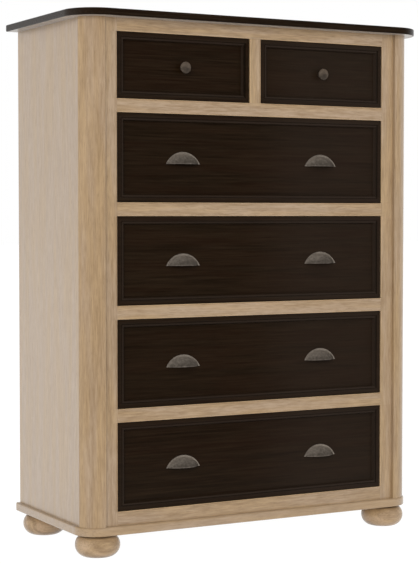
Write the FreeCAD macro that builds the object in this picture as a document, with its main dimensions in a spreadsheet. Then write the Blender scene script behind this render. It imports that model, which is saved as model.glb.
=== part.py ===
import FreeCAD
import Part
import Sketcher
import os

# Tall chest of drawers: two small drawers over four large ones, in a face-framed case
# with quarter-round front posts, on a base board with four bun feet.
# Frame: +X to the right seen from the front, +Y to the back, +Z up, in millimetres.
# The origin lies on the floor under the centre of the top board.

SIZES = (
    # Case front
    ("opening_width", "834", "clear width between the stiles"),
    ("large_opening", "235", "clear height of a large drawer opening"),
    ("small_opening", "174", "clear height of a small drawer opening"),
    ("rail_height", "36", "rail between two drawer openings"),
    ("bottom_rail_height", "36.5", "rail under the lowest drawer"),
    ("top_rail_height", "34.5", "rail over the small drawers"),
    ("frame_thickness", "20", "thickness of stiles, rails and divider"),
    ("stile_width", "38", "stile, from the opening to the post"),
    ("divider_width", "34", "upright between the small drawers"),
    ("tenon_length", "22", "tenon at each end of a rail"),
    ("tenon_shoulder", "6", "wood left on each side of a tenon"),
    ("divider_tenon", "12", "tenon at each end of the divider"),
    ("tenon_clearance", "0.3", "gap between a tenon's end and its mortise"),
    # Posts, sides, back, top and base
    ("post_width", "62", "radius of the post's round, which starts at the stile"),
    ("post_depth", "42", "post from front to back, short of the full quarter"),
    ("post_proud", "10", "post in front of the face frame"),
    ("panel_setback", "7", "side panel inside the widest part of the post's round"),
    ("panel_thickness", "18", "side panel"),
    ("case_depth", "451", "face frame's front to the back"),
    ("back_thickness", "6", "back panel"),
    ("back_rabbet", "10", "rabbet in the side panel for the back panel"),
    ("top_thickness", "19", "top board"),
    ("top_overhang", "27", "top board past the posts"),
    ("back_overhang", "3", "top and base boards past the back of the case"),
    ("top_edge_round", "3", "eased edge of the top board"),
    ("base_thickness", "23.5", "base board"),
    ("base_ledge", "2.5", "base board past the front of the posts"),
    ("base_side_ledge", "3.5", "base board past the sides of the posts"),
    ("base_corner", "64", "front corner of the base board in plan"),
    ("base_edge_round", "4.5", "rounded upper edge of the base board"),
    ("base_lower_round", "3", "eased lower edge of the base board"),
    # Feet
    ("foot_height", "59", "bun foot"),
    ("foot_belly_radius", "60", "widest part of the bun"),
    ("foot_belly_height", "30", "height of the widest part"),
    ("foot_bottom_radius", "38", "flat underside of the bun"),
    ("foot_top_radius", "45", "shoulder of the bun"),
    ("foot_neck_radius", "38", "short neck between the shoulder and the base board"),
    ("foot_neck_height", "3", "short neck between the shoulder and the base board"),
    ("foot_front_inset", "56", "centre of a front foot behind the front of the posts"),
    ("foot_back_inset", "57", "centre of a back foot from the back of the case"),
    ("foot_back_spread", "4", "back foot further out than a front foot"),
    ("bolt_radius", "4", "double-ended foot bolt"),
    ("bolt_depth", "32", "foot bolt inside the foot"),
    ("bolt_rise", "17", "foot bolt inside the base board"),
    ("bolt_clearance", "0.2", "gap round the foot bolt"),
    # Runners
    ("runner_width", "58", "shelf of a runner"),
    ("runner_thickness", "20", "shelf of a runner"),
    ("guide_width", "18", "upright rib that guides a drawer side"),
    ("guide_height", "18", "upright rib above the shelf"),
    ("guide_clearance", "0.8", "gap between a drawer side and its guide"),
    ("centre_shelf", "16", "shelf on each side of the centre guide"),
    ("stop_length", "15", "shoulder that stops a drawer at the back"),
    ("stop_clearance", "0.3", "gap between a shut drawer and its stop"),
    ("batten_width", "52", "upright batten in a back corner"),
    ("batten_thickness", "25", "battens on the back panel"),
    # Drawers
    ("front_gap", "1.5", "gap round an inset drawer front"),
    ("front_setback", "3", "drawer front behind the face frame"),
    ("front_thickness", "22", "drawer front"),
    ("border_width", "11", "flat border of a drawer front"),
    ("quirk_width", "1.5", "fine groove between the border and the bead"),
    ("quirk_depth", "2.5", "fine groove between the border and the bead"),
    ("bead_width", "5.5", "rounded bead inside the border"),
    ("bead_round", "2", "rounded edges of the bead"),
    ("slope_width", "3", "sloped wall from the bead to the field"),
    ("field_depth", "9.5", "sunk field behind the border"),
    ("side_thickness", "12", "drawer side and drawer back"),
    ("lap_depth", "8", "drawer side let into the end of the front"),
    ("large_side_height", "200", "side of a large drawer"),
    ("small_side_height", "140", "side of a small drawer"),
    ("run_clearance", "0.3", "drawer side above its runner"),
    ("bottom_thickness", "6", "drawer bottom"),
    ("bottom_rise", "10", "drawer bottom above the lower edge of the side"),
    ("groove_depth", "6", "groove in the side for the bottom"),
    ("groove_clearance", "0.15", "gap round the bottom in its groove"),
    # Cup pulls and knobs
    ("cup_half_width", "46", "half the mouth of a cup pull"),
    ("cup_rise", "28", "cup from its lip to its crown"),
    ("cup_reach", "22", "cup in front of the drawer"),
    ("cup_wall", "2", "wall of the cup"),
    ("flange_half_width", "51", "half the flange of a cup pull"),
    ("flange_rise", "32.5", "flange from its lower edge to its crown"),
    ("flange_crown", "17.5", "crown of the flange above the middle of the drawer"),
    ("flange_thickness", "1.6", "flange of a cup pull"),
    ("knob_radius", "15.5", "widest part of a knob"),
    ("knob_reach", "24", "knob in front of the drawer"),
    ("knob_dome", "6", "domed face of a knob"),
    ("knob_rim", "2", "straight rim of a knob"),
    ("knob_stem_radius", "6", "waist of a knob"),
    ("knob_foot_radius", "8.5", "foot of a knob on the drawer"),
    ("knob_foot_height", "1.5", "straight edge of the knob's foot"),
    ("knob_flare", "4", "spread of the waist under the rim"),
)
LARGE_DRAWERS = 4
FULL_TURN = 360
TINY = 0.001

doc = FreeCAD.newDocument("tall_chest")
sheet = doc.addObject("Spreadsheet::Sheet", "sizes")
for row, (alias, value, meaning) in enumerate(SIZES, start=1):
    sheet.set(f"A{row}", alias)
    sheet.set(f"B{row}", value)
    sheet.set(f"C{row}", meaning)
    sheet.setAlias(f"B{row}", alias)
doc.recompute()

# Places worked out from the sheet, as expressions that the pieces are bound to.
HALF_OPENING = "(sizes.opening_width / 2)"
STEP_X = f"({HALF_OPENING} + sizes.stile_width)"
POST_X = f"({STEP_X} + sizes.post_width)"
INSIDE_X = f"({POST_X} - sizes.panel_setback - sizes.panel_thickness)"
BATTEN_X = f"({INSIDE_X} - sizes.batten_width)"
TOP_HALF_WIDTH = f"({POST_X} + sizes.top_overhang)"
BASE_HALF_WIDTH = f"({POST_X} + sizes.base_side_ledge)"
TOP_DEPTH = "(sizes.case_depth + sizes.post_proud + sizes.top_overhang + sizes.back_overhang)"
BACK_Y = f"({TOP_DEPTH} / 2 - sizes.back_overhang)"
FRAME_Y = f"({BACK_Y} - sizes.case_depth)"
POST_Y = f"({FRAME_Y} - sizes.post_proud)"
BEHIND_FRAME_Y = f"({FRAME_Y} + sizes.frame_thickness)"
BEHIND_POST_Y = f"({POST_Y} + sizes.post_depth)"
BACK_FACE_Y = f"({BACK_Y} - sizes.back_thickness)"
BATTEN_Y = f"({BACK_FACE_Y} - sizes.batten_thickness)"
RUNNER_LENGTH = f"({BATTEN_Y} - {BEHIND_FRAME_Y})"
FRONT_Y = f"({FRAME_Y} + sizes.front_setback)"
BEHIND_FRONT_Y = f"({FRONT_Y} + sizes.front_thickness)"
DRAWER_END_Y = f"({BATTEN_Y} - sizes.stop_length - sizes.stop_clearance)"
BOX_LENGTH = f"({DRAWER_END_Y} - {BEHIND_FRONT_Y})"
FIELD_Y = f"({FRONT_Y} + sizes.field_depth)"
CASE_Z = "(sizes.foot_height + sizes.base_thickness)"
FIRST_OPENING_Z = f"({CASE_Z} + sizes.bottom_rail_height)"
PITCH = "(sizes.large_opening + sizes.rail_height)"
SMALL_OPENING_Z = f"({FIRST_OPENING_Z} + {LARGE_DRAWERS} * {PITCH})"
TOP_RAIL_Z = f"({SMALL_OPENING_Z} + sizes.small_opening)"
TOP_Z = f"({TOP_RAIL_Z} + sizes.top_rail_height)"
CASE_HEIGHT = f"({TOP_Z} - {CASE_Z})"
FOOT_FRONT_Y = f"({POST_Y} + sizes.foot_front_inset)"
FOOT_BACK_Y = f"({BACK_Y} - sizes.foot_back_inset)"
FOOT_BACK_X = f"({STEP_X} + sizes.foot_back_spread)"
SMALL_OPENING_WIDTH = f"({HALF_OPENING} - sizes.divider_width / 2)"
PULL_X = f"(({HALF_OPENING} + sizes.divider_width / 2) / 2)"
STOP_START = f"({RUNNER_LENGTH} - sizes.stop_length)"
TENON_THICKNESS = "(sizes.frame_thickness - 2 * sizes.tenon_shoulder)"
INTO_GROOVE = "(sizes.groove_depth - sizes.groove_clearance)"

nodes = []


def number(expression):
    """Value of an expression on the sheet."""
    return float(sheet.evalExpression(expression))


def place(piece, x, y, z):
    """Bind a piece's place to three expressions."""
    for axis, expression in zip("xyz", (x, y, z)):
        piece.setExpression(f"Placement.Base.{axis}", expression)


def node(piece):
    """Count a piece among the sub-parts that are written out."""
    nodes.append(piece)


def named(kind, label):
    """New object of the document with its own label."""
    piece = doc.addObject(kind, label)
    piece.Label = label
    return piece


def board(label, corner, extent):
    """Square-edged board from its low corner and its extents, all expressions."""
    piece = named("Part::Box", label)
    for side, expression in zip(("Length", "Width", "Height"), extent):
        piece.setExpression(side, expression)
    place(piece, *corner)
    return piece


def mirrored(label, source):
    """The same piece on the other side of the chest."""
    piece = named("Part::Mirroring", label)
    piece.Source = source
    piece.Normal = FreeCAD.Vector(1, 0, 0)
    return piece


def group(label, pieces):
    """Like pieces kept apart as separate solids under one name."""
    piece = named("Part::Compound", label)
    piece.Links = pieces
    return piece


def new_sketch(body, name, plane_role):
    """Sketch on one of the body's own origin planes."""
    plane = next(item for item in body.Origin.OriginFeatures if item.Role == plane_role)
    sketch = body.newObject("Sketcher::SketchObject", name)
    sketch.AttachmentSupport = [(plane, "")]
    sketch.MapMode = "FlatFace"
    return sketch


def bound(sketch, kind, *references, size):
    """Dimension whose value is an expression."""
    index = sketch.addConstraint(Sketcher.Constraint(kind, *references, number(size)))
    sketch.setExpression(f"Constraints[{index}]", size)


def pin_point(sketch, geometry, end, x, y):
    """Tie a point to the sketch's origin by two expressions, or to its axes where one is None."""
    if x is None and y is None:
        sketch.addConstraint(Sketcher.Constraint("Coincident", geometry, end, -1, 1))
        return
    if x is None:
        sketch.addConstraint(Sketcher.Constraint("PointOnObject", geometry, end, -2))
    else:
        bound(sketch, "DistanceX", -1, 1, geometry, end, size=x)
    if y is None:
        sketch.addConstraint(Sketcher.Constraint("PointOnObject", geometry, end, -1))
    else:
        bound(sketch, "DistanceY", -1, 1, geometry, end, size=y)


def line(sketch, start, finish):
    return sketch.addGeometry(Part.LineSegment(FreeCAD.Vector(*start, 0), FreeCAD.Vector(*finish, 0)))


def join(sketch, first, second):
    """End of the first curve meets the start of the second."""
    sketch.addConstraint(Sketcher.Constraint("Coincident", first, 2, second, 1))


def polygon(sketch, points):
    """Closed outline of straight lines; None stands for a point on an axis."""
    spots = [tuple(0.0 if part is None else number(part) for part in point) for point in points]
    lines = [line(sketch, spot, spots[(index + 1) % len(spots)]) for index, spot in enumerate(spots)]
    for index, geometry in enumerate(lines):
        join(sketch, geometry, lines[(index + 1) % len(lines)])
        pin_point(sketch, geometry, 1, *points[index])


def rectangle(sketch, width, height, inset=None):
    """Rectangle in the first quadrant, with its low corner at the origin or inset from it."""
    if inset is None:
        polygon(sketch, ((None, None), (width, None), (width, height), (None, height)))
        return
    right = f"({width} - {inset})"
    upper = f"({height} - {inset})"
    polygon(sketch, ((inset, inset), (right, inset), (right, upper), (inset, upper)))


def arc(sketch, centre, radius, start, finish):
    """Arc through two points, run anticlockwise about its centre."""
    circle = Part.Circle(FreeCAD.Vector(*centre, 0), FreeCAD.Vector(0, 0, 1), radius)
    angles = [circle.parameter(FreeCAD.Vector(*point, 0)) for point in (start, finish)]
    return sketch.addGeometry(Part.ArcOfCircle(circle, *angles))


def feature(body, kind, name, sketch, reverse=False, **extents):
    """Pad, pocket or revolution of a sketch, with its sizes bound."""
    made = body.newObject(f"PartDesign::{kind}", name)
    made.Profile = sketch
    made.Reversed = reverse
    for side, expression in extents.items():
        made.setExpression(side, expression)
    return made


def fillet(body, name, base, radius, wanted):
    """Round the edges of the base feature that a test picks."""
    doc.recompute()
    rounds = body.newObject("PartDesign::Fillet", name)
    picked = [f"Edge{index}" for index, edge in enumerate(base.Shape.Edges, start=1) if wanted(edge)]
    rounds.Base = (base, picked)
    rounds.setExpression("Radius", radius)
    return rounds


def upright_at_front(edge):
    """Upright edge on the local plane y = 0."""
    box = edge.BoundBox
    return box.YMax < TINY and box.ZLength > TINY


def level(edge):
    """Edge that lies flat."""
    return edge.BoundBox.ZLength < TINY


def rounded_slab(label, half_width, depth, thickness, corner, edge_round, eased):
    """Board with rounded front corners in plan and eased edges."""
    body = named("PartDesign::Body", label)
    sketch = new_sketch(body, f"{label}_outline", "XY_Plane")
    rectangle(sketch, f"(2 * {half_width})", depth)
    slab = feature(body, "Pad", f"{label}_slab", sketch, Length=thickness)
    corners = fillet(body, f"{label}_corners", slab, corner, upright_at_front)
    fillet(body, f"{label}_edges", corners, edge_round, eased)
    return body


def top_board():
    body = rounded_slab("top_board", TOP_HALF_WIDTH, TOP_DEPTH, "sizes.top_thickness",
                        "sizes.post_width + sizes.top_overhang", "sizes.top_edge_round", level)
    place(body, f"-{TOP_HALF_WIDTH}", f"-{TOP_DEPTH} / 2", TOP_Z)
    node(body)


def base_board():
    """Base board, rounded at the front and sides, more above than below, bored for the foot bolts."""
    to_case_back = "(sizes.case_depth + sizes.post_proud + sizes.base_ledge)"
    depth = f"({to_case_back} + sizes.back_overhang)"
    back = number(depth)

    def upper(edge):
        return level(edge) and edge.BoundBox.ZMin > TINY and edge.BoundBox.YMin < back - TINY

    def lower(edge):
        return edge.BoundBox.ZMax < TINY and edge.BoundBox.YMin < back - TINY

    body = rounded_slab("base_board", BASE_HALF_WIDTH, depth, "sizes.base_thickness",
                        "sizes.base_corner", "sizes.base_edge_round", upper)
    fillet(body, "base_board_lower_edges", body.Tip, "sizes.base_lower_round", lower)
    sketch = new_sketch(body, "base_board_bolt_holes", "XY_Plane")
    radius = "sizes.bolt_radius + sizes.bolt_clearance"
    for half, y in ((STEP_X, "sizes.foot_front_inset + sizes.base_ledge"),
                    (FOOT_BACK_X, f"{to_case_back} - sizes.foot_back_inset")):
        for x in (f"{BASE_HALF_WIDTH} - {half}", f"{BASE_HALF_WIDTH} + {half}"):
            centre = FreeCAD.Vector(number(x), number(y), 0)
            circle = sketch.addGeometry(Part.Circle(centre, FreeCAD.Vector(0, 0, 1), number(radius)))
            pin_point(sketch, circle, 3, x, y)
            bound(sketch, "Radius", circle, size=radius)
    feature(body, "Pocket", "base_board_bores", sketch, reverse=True, Length="sizes.bolt_rise")
    place(body, f"-{BASE_HALF_WIDTH}", f"{POST_Y} - sizes.base_ledge", "sizes.foot_height")
    node(body)


def front_posts():
    """Quarter-round posts: the round starts square to the frame and ends just proud of the side panel."""
    body = named("PartDesign::Body", "front_post_right")
    sketch = new_sketch(body, "front_post_outline", "XY_Plane")
    radius, depth = number("sizes.post_width"), number("sizes.post_depth")
    reach = (radius ** 2 - (radius - depth) ** 2) ** 0.5
    rounding = arc(sketch, (0, radius), radius, (0, 0), (reach, depth))
    back = line(sketch, (reach, depth), (0, depth))
    inside = line(sketch, (0, depth), (0, 0))
    for first, second in ((rounding, back), (back, inside), (inside, rounding)):
        join(sketch, first, second)
    pin_point(sketch, rounding, 1, None, None)
    sketch.addConstraint(Sketcher.Constraint("PointOnObject", rounding, 3, -2))
    bound(sketch, "Radius", rounding, size="sizes.post_width")
    sketch.addConstraint(Sketcher.Constraint("Horizontal", back))
    pin_point(sketch, back, 2, None, "sizes.post_depth")
    feature(body, "Pad", "front_post_length", sketch, Length=CASE_HEIGHT)
    place(body, STEP_X, POST_Y, CASE_Z)
    node(body)
    node(mirrored("front_post_left", body))


def side_panels():
    """Side panels with a rabbet at the back for the back panel."""
    body = named("PartDesign::Body", "side_panel_right")
    sketch = new_sketch(body, "side_panel_outline", "XY_Plane")
    length = f"({BACK_Y} - {BEHIND_POST_Y})"
    shoulder = f"({BACK_FACE_Y} - {BEHIND_POST_Y})"
    polygon(sketch, ((None, None), ("sizes.panel_thickness", None), ("sizes.panel_thickness", length),
                     ("sizes.back_rabbet", length), ("sizes.back_rabbet", shoulder), (None, shoulder)))
    feature(body, "Pad", "side_panel_height", sketch, Length=CASE_HEIGHT)
    place(body, INSIDE_X, BEHIND_POST_Y, CASE_Z)
    node(body)
    node(mirrored("side_panel_left", body))


def cut_at(body, name, depth, outlines, length):
    """Pocket of straight-sided outlines, from a given depth behind the body's front."""
    sketch = new_sketch(body, f"{name}_outline", "XZ_Plane")
    for points in outlines:
        polygon(sketch, points)
    sketch.setExpression("AttachmentOffset.Base.z", f"-{depth}")
    feature(body, "Pocket", name, sketch, Length=length)


def tenoned(label, board_outline, tenon_outline):
    """Board of the face frame with a tenon at each end, half as thick as the board or less."""
    body = named("PartDesign::Body", label)
    outline = new_sketch(body, f"{label}_outline", "XZ_Plane")
    polygon(outline, board_outline)
    feature(body, "Pad", f"{label}_board", outline, reverse=True, Length="sizes.frame_thickness")
    tongue = new_sketch(body, f"{label}_tongue", "XZ_Plane")
    polygon(tongue, tenon_outline)
    tongue.setExpression("AttachmentOffset.Base.z", "-sizes.tenon_shoulder")
    feature(body, "Pad", f"{label}_tenons", tongue, reverse=True, Length=TENON_THICKNESS)
    return body


def rail(label, z, height, divider_mortise):
    """Rail between the stiles; two of them also take a tenon of the divider."""
    start, finish = "sizes.tenon_length", "(sizes.tenon_length + sizes.opening_width)"
    end = "(2 * sizes.tenon_length + sizes.opening_width)"
    low, high = "sizes.tenon_shoulder", f"({height} - sizes.tenon_shoulder)"
    body = tenoned(label, ((start, None), (finish, None), (finish, height), (start, height)),
                   ((None, low), (end, low), (end, high), (None, high)))
    if divider_mortise:
        half = "(sizes.divider_width / 2 - sizes.tenon_shoulder)"
        left, right = f"({start} + {HALF_OPENING} - {half})", f"({start} + {HALF_OPENING} + {half})"
        hole = "(sizes.divider_tenon + sizes.tenon_clearance)"
        foot, head = (None, hole) if divider_mortise == "below" else (f"({height} - {hole})", height)
        cut_at(body, f"{label}_mortise", "sizes.tenon_shoulder",
               [((left, foot), (right, foot), (right, head), (left, head))], TENON_THICKNESS)
    place(body, f"-{HALF_OPENING} - sizes.tenon_length", FRAME_Y, z)
    node(body)


def stiles(rails):
    """Stiles with a mortise for every rail."""
    body = named("PartDesign::Body", "stile_right")
    outline = new_sketch(body, "stile_outline", "XZ_Plane")
    rectangle(outline, "sizes.stile_width", CASE_HEIGHT)
    feature(body, "Pad", "stile_board", outline, reverse=True, Length="sizes.frame_thickness")
    hole = "(sizes.tenon_length + sizes.tenon_clearance)"
    mortises = []
    for z, height in rails:
        low = f"({z} - {CASE_Z} + sizes.tenon_shoulder)"
        high = f"({z} - {CASE_Z} + {height} - sizes.tenon_shoulder)"
        mortises.append(((None, low), (hole, low), (hole, high), (None, high)))
    cut_at(body, "stile_mortises", "sizes.tenon_shoulder", mortises, TENON_THICKNESS)
    place(body, HALF_OPENING, FRAME_Y, CASE_Z)
    node(body)
    node(mirrored("stile_left", body))


def divider():
    """Upright between the small drawers, tenoned into the rails over and under it."""
    tenon, width = "sizes.divider_tenon", "sizes.divider_width"
    shoulder = "sizes.tenon_shoulder"
    upper, end = f"({tenon} + sizes.small_opening)", f"(2 * {tenon} + sizes.small_opening)"
    inner = f"({width} - {shoulder})"
    body = tenoned("drawer_divider", ((None, tenon), (width, tenon), (width, upper), (None, upper)),
                   ((shoulder, None), (inner, None), (inner, end), (shoulder, end)))
    place(body, f"-{width} / 2", FRAME_Y, f"{SMALL_OPENING_Z} - {tenon}")
    node(body)


def face_frame():
    """Stiles, rails and the divider between the small drawers, mortised and tenoned."""
    rails = [("bottom_rail", CASE_Z, "sizes.bottom_rail_height", None),
             ("top_rail", TOP_RAIL_Z, "sizes.top_rail_height", "below")]
    for index in range(LARGE_DRAWERS):
        over_drawer = f"({SMALL_OPENING_Z} - {index} * {PITCH} - sizes.rail_height)"
        mortise = None if index else "above"
        rails.append((f"drawer_rail_{index + 1}", over_drawer, "sizes.rail_height", mortise))
    stiles([(z, height) for label, z, height, mortise in rails])
    for one_rail in rails:
        rail(*one_rail)
    divider()


def back():
    """Back panel in the rabbets of the sides, and the battens inside it."""
    half_width = f"({INSIDE_X} + sizes.back_rabbet)"
    node(board("back_panel", (f"-{half_width}", BACK_FACE_Y, CASE_Z),
               (f"2 * {half_width}", "sizes.back_thickness", CASE_HEIGHT)))
    upright = ("sizes.batten_width", "sizes.batten_thickness", CASE_HEIGHT)
    battens = [
        board("back_batten_left", (f"-{INSIDE_X}", BATTEN_Y, CASE_Z), upright),
        board("back_batten_right", (BATTEN_X, BATTEN_Y, CASE_Z), upright),
        board("back_batten_cross", (f"-{BATTEN_X}", BATTEN_Y, f"{SMALL_OPENING_Z} - sizes.rail_height"),
              (f"2 * {BATTEN_X}", "sizes.batten_thickness", "sizes.rail_height")),
    ]
    node(group("back_battens", battens))


def foot_outline(sketch):
    """Half section of a bun: two arcs that meet at the belly, a flat sole, a short neck and a bolt hole."""
    belly, waist = number("sizes.foot_belly_radius"), number("sizes.foot_belly_height")
    sole, crown = number("sizes.foot_bottom_radius"), number("sizes.foot_top_radius")
    height, neck = number("sizes.foot_height"), number("sizes.foot_neck_radius")
    shoulder_z = "(sizes.foot_height - sizes.foot_neck_height)"
    shoulder = number(shoulder_z)
    hole = "sizes.bolt_radius + sizes.bolt_clearance"
    hole_floor = "sizes.foot_height - sizes.bolt_depth"

    def centre_of(rim, rise):
        return (belly ** 2 - rim ** 2 - rise ** 2) / (2 * (belly - rim))

    low, high = centre_of(sole, waist), centre_of(crown, shoulder - waist)
    floor = line(sketch, (0, 0), (sole, 0))
    lower = arc(sketch, (low, waist), belly - low, (sole, 0), (belly, waist))
    upper = arc(sketch, (high, waist), belly - high, (belly, waist), (crown, shoulder))
    step = line(sketch, (crown, shoulder), (neck, shoulder))
    rise = line(sketch, (neck, shoulder), (neck, height))
    top = line(sketch, (neck, height), (number(hole), height))
    wall = line(sketch, (number(hole), height), (number(hole), number(hole_floor)))
    end = line(sketch, (number(hole), number(hole_floor)), (0, number(hole_floor)))
    axis = line(sketch, (0, number(hole_floor)), (0, 0))
    chain = (floor, lower, upper, step, rise, top, wall, end, axis)
    for index, geometry in enumerate(chain):
        join(sketch, geometry, chain[(index + 1) % len(chain)])
    pin_point(sketch, floor, 1, None, None)
    pin_point(sketch, floor, 2, "sizes.foot_bottom_radius", None)
    pin_point(sketch, lower, 2, "sizes.foot_belly_radius", "sizes.foot_belly_height")
    pin_point(sketch, upper, 2, "sizes.foot_top_radius", shoulder_z)
    pin_point(sketch, rise, 1, "sizes.foot_neck_radius", shoulder_z)
    pin_point(sketch, rise, 2, "sizes.foot_neck_radius", "sizes.foot_height")
    for rounding in (lower, upper):
        bound(sketch, "DistanceY", -1, 1, rounding, 3, size="sizes.foot_belly_height")
    pin_point(sketch, wall, 1, hole, "sizes.foot_height")
    pin_point(sketch, wall, 2, hole, hole_floor)
    pin_point(sketch, end, 2, None, hole_floor)


def revolved(label, outline, plane_role="XZ_Plane"):
    """Full turn of an outline about the upright axis of its sketch."""
    body = named("PartDesign::Body", label)
    sketch = new_sketch(body, f"{label}_outline", plane_role)
    outline(sketch)
    turn = body.newObject("PartDesign::Revolution", f"{label}_turn")
    turn.Profile = sketch
    turn.ReferenceAxis = (sketch, ["V_Axis"])
    turn.Angle = FULL_TURN
    return body


def bolt_outline(sketch):
    """Half section of a foot bolt, from its tip in the foot to its tip in the base board."""
    rectangle(sketch, "sizes.bolt_radius", "(sizes.bolt_depth + sizes.bolt_rise)")


def feet():
    """Bun feet under the posts and near the back corners, each held by a double-ended bolt."""
    bolts = []
    for depth, half, y in (("front", STEP_X, FOOT_FRONT_Y), ("back", FOOT_BACK_X, FOOT_BACK_Y)):
        for side, x in (("left", f"-{half}"), ("right", half)):
            foot = revolved(f"foot_{depth}_{side}", foot_outline)
            place(foot, x, y, "0")
            node(foot)
            bolt = revolved(f"foot_bolt_{depth}_{side}", bolt_outline)
            place(bolt, x, y, "sizes.foot_height - sizes.bolt_depth")
            bolts.append(bolt)
    node(group("foot_bolts", bolts))


def stop(body, name, start, width):
    """Shoulder on a runner's shelf that stops a drawer at the back."""
    sketch = new_sketch(body, name, "XZ_Plane")
    shelf, upper = "sizes.runner_thickness", "sizes.runner_thickness + sizes.guide_height"
    finish = width if start is None else f"{start} + {width}"
    polygon(sketch, ((start, shelf), (finish, shelf), (finish, upper), (start, upper)))
    sketch.setExpression("AttachmentOffset.Base.z", f"-{STOP_START}")
    feature(body, "Pad", f"{name}_block", sketch, reverse=True, Length="sizes.stop_length")


def side_runner(label, z):
    """Runner for the right side: a shelf, a rib that guides the drawer and a stop at the back."""
    body = named("PartDesign::Body", label)
    sketch = new_sketch(body, f"{label}_section", "XZ_Plane")
    side_face = f"({HALF_OPENING} - sizes.front_gap)"
    rib = f"({side_face} + sizes.guide_clearance - {STEP_X} + sizes.runner_width)"
    rib_end = f"({rib} + sizes.guide_width)"
    shelf, upper = "sizes.runner_thickness", "sizes.runner_thickness + sizes.guide_height"
    width = "sizes.runner_width"
    polygon(sketch, ((None, None), (width, None), (width, shelf), (rib_end, shelf),
                     (rib_end, upper), (rib, upper), (rib, shelf), (None, shelf)))
    feature(body, "Pad", f"{label}_length", sketch, reverse=True, Length=RUNNER_LENGTH)
    stop(body, f"{label}_stop", None, rib)
    place(body, f"{STEP_X} - sizes.runner_width", BEHIND_FRAME_Y, f"{z} - sizes.runner_thickness")
    return body


def centre_runner():
    """Runner behind the divider, shared by the two small drawers."""
    body = named("PartDesign::Body", "centre_runner")
    sketch = new_sketch(body, "centre_runner_section", "XZ_Plane")
    rib_width = "(sizes.divider_width + 2 * sizes.front_gap - 2 * sizes.guide_clearance)"
    rib = "sizes.centre_shelf"
    rib_end = f"({rib} + {rib_width})"
    width = f"({rib_end} + {rib})"
    shelf, upper = "sizes.runner_thickness", "sizes.runner_thickness + sizes.guide_height"
    polygon(sketch, ((None, None), (width, None), (width, shelf), (rib_end, shelf),
                     (rib_end, upper), (rib, upper), (rib, shelf), (None, shelf)))
    feature(body, "Pad", "centre_runner_length", sketch, reverse=True, Length=RUNNER_LENGTH)
    stop(body, "centre_runner_stop_left", None, rib)
    stop(body, "centre_runner_stop_right", rib_end, rib)
    place(body, f"-{width} / 2", BEHIND_FRAME_Y, f"{SMALL_OPENING_Z} - sizes.runner_thickness")
    node(body)


def runners():
    """A pair of runners for every tier of drawers."""
    pieces = []
    for tier in range(LARGE_DRAWERS + 1):
        right = side_runner(f"runner_right_{tier + 1}", f"{FIRST_OPENING_Z} + {tier} * {PITCH}")
        pieces += [right, mirrored(f"runner_left_{tier + 1}", right)]
    node(group("drawer_runners", pieces))
    centre_runner()


def box_joints(body, label, width, side_height):
    """Laps at the ends of a drawer front for the sides, and a groove behind it for the bottom."""
    wall = "sizes.side_thickness"
    far = f"({width} - {wall})"
    upper = f"({side_height} + sizes.run_clearance - sizes.front_gap)"
    cut_at(body, f"{label}_laps", "(sizes.front_thickness - sizes.lap_depth)",
           [((None, None), (wall, None), (wall, upper), (None, upper)),
            ((far, None), (width, None), (width, upper), (far, upper))], "sizes.lap_depth")
    floor = "(sizes.run_clearance + sizes.bottom_rise - sizes.front_gap)"
    low = f"({floor} - sizes.groove_clearance)"
    high = f"({floor} + sizes.bottom_thickness + sizes.groove_clearance)"
    cut_at(body, f"{label}_bottom_groove", "(sizes.front_thickness - sizes.groove_depth)",
           [((wall, low), (far, low), (far, high), (wall, high))], "sizes.groove_depth")


def drawer_front(label, x, z, width, height, side_height):
    """Inset front: a flat border, a fine groove, a rounded bead, a sloped wall and a sunk field."""
    body = named("PartDesign::Body", label)
    outline = new_sketch(body, f"{label}_outline", "XZ_Plane")
    rectangle(outline, width, height)
    feature(body, "Pad", f"{label}_board", outline, reverse=True, Length="sizes.front_thickness")
    bead = "(sizes.border_width + sizes.quirk_width)"
    slope = f"({bead} + sizes.bead_width)"
    groove = new_sketch(body, f"{label}_groove", "XZ_Plane")
    rectangle(groove, width, height, inset="sizes.border_width")
    rectangle(groove, width, height, inset=bead)
    feature(body, "Pocket", f"{label}_quirk", groove, Length="sizes.quirk_depth")
    rim = new_sketch(body, f"{label}_rim", "XZ_Plane")
    rectangle(rim, width, height, inset=slope)
    foot = new_sketch(body, f"{label}_slope_foot", "XZ_Plane")
    rectangle(foot, width, height, inset=f"({slope} + sizes.slope_width)")
    foot.setExpression("AttachmentOffset.Base.z", "-sizes.field_depth")
    sunk = body.newObject("PartDesign::SubtractiveLoft", f"{label}_sunk_field")
    sunk.Profile = rim
    sunk.Sections = [foot]
    sunk.Ruled = True
    span, tall = number(width), number(height)

    def on_bead(edge):
        box = edge.BoundBox
        insets = (box.XMin, box.ZMin, span - box.XMax, tall - box.ZMax)
        return abs(box.YMin) < TINY and abs(box.YMax) < TINY and min(insets) > number(bead) - TINY

    fillet(body, f"{label}_bead", sunk, "sizes.bead_round", on_bead)
    box_joints(body, label, width, side_height)
    place(body, x, FRONT_Y, z)
    node(body)


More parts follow.
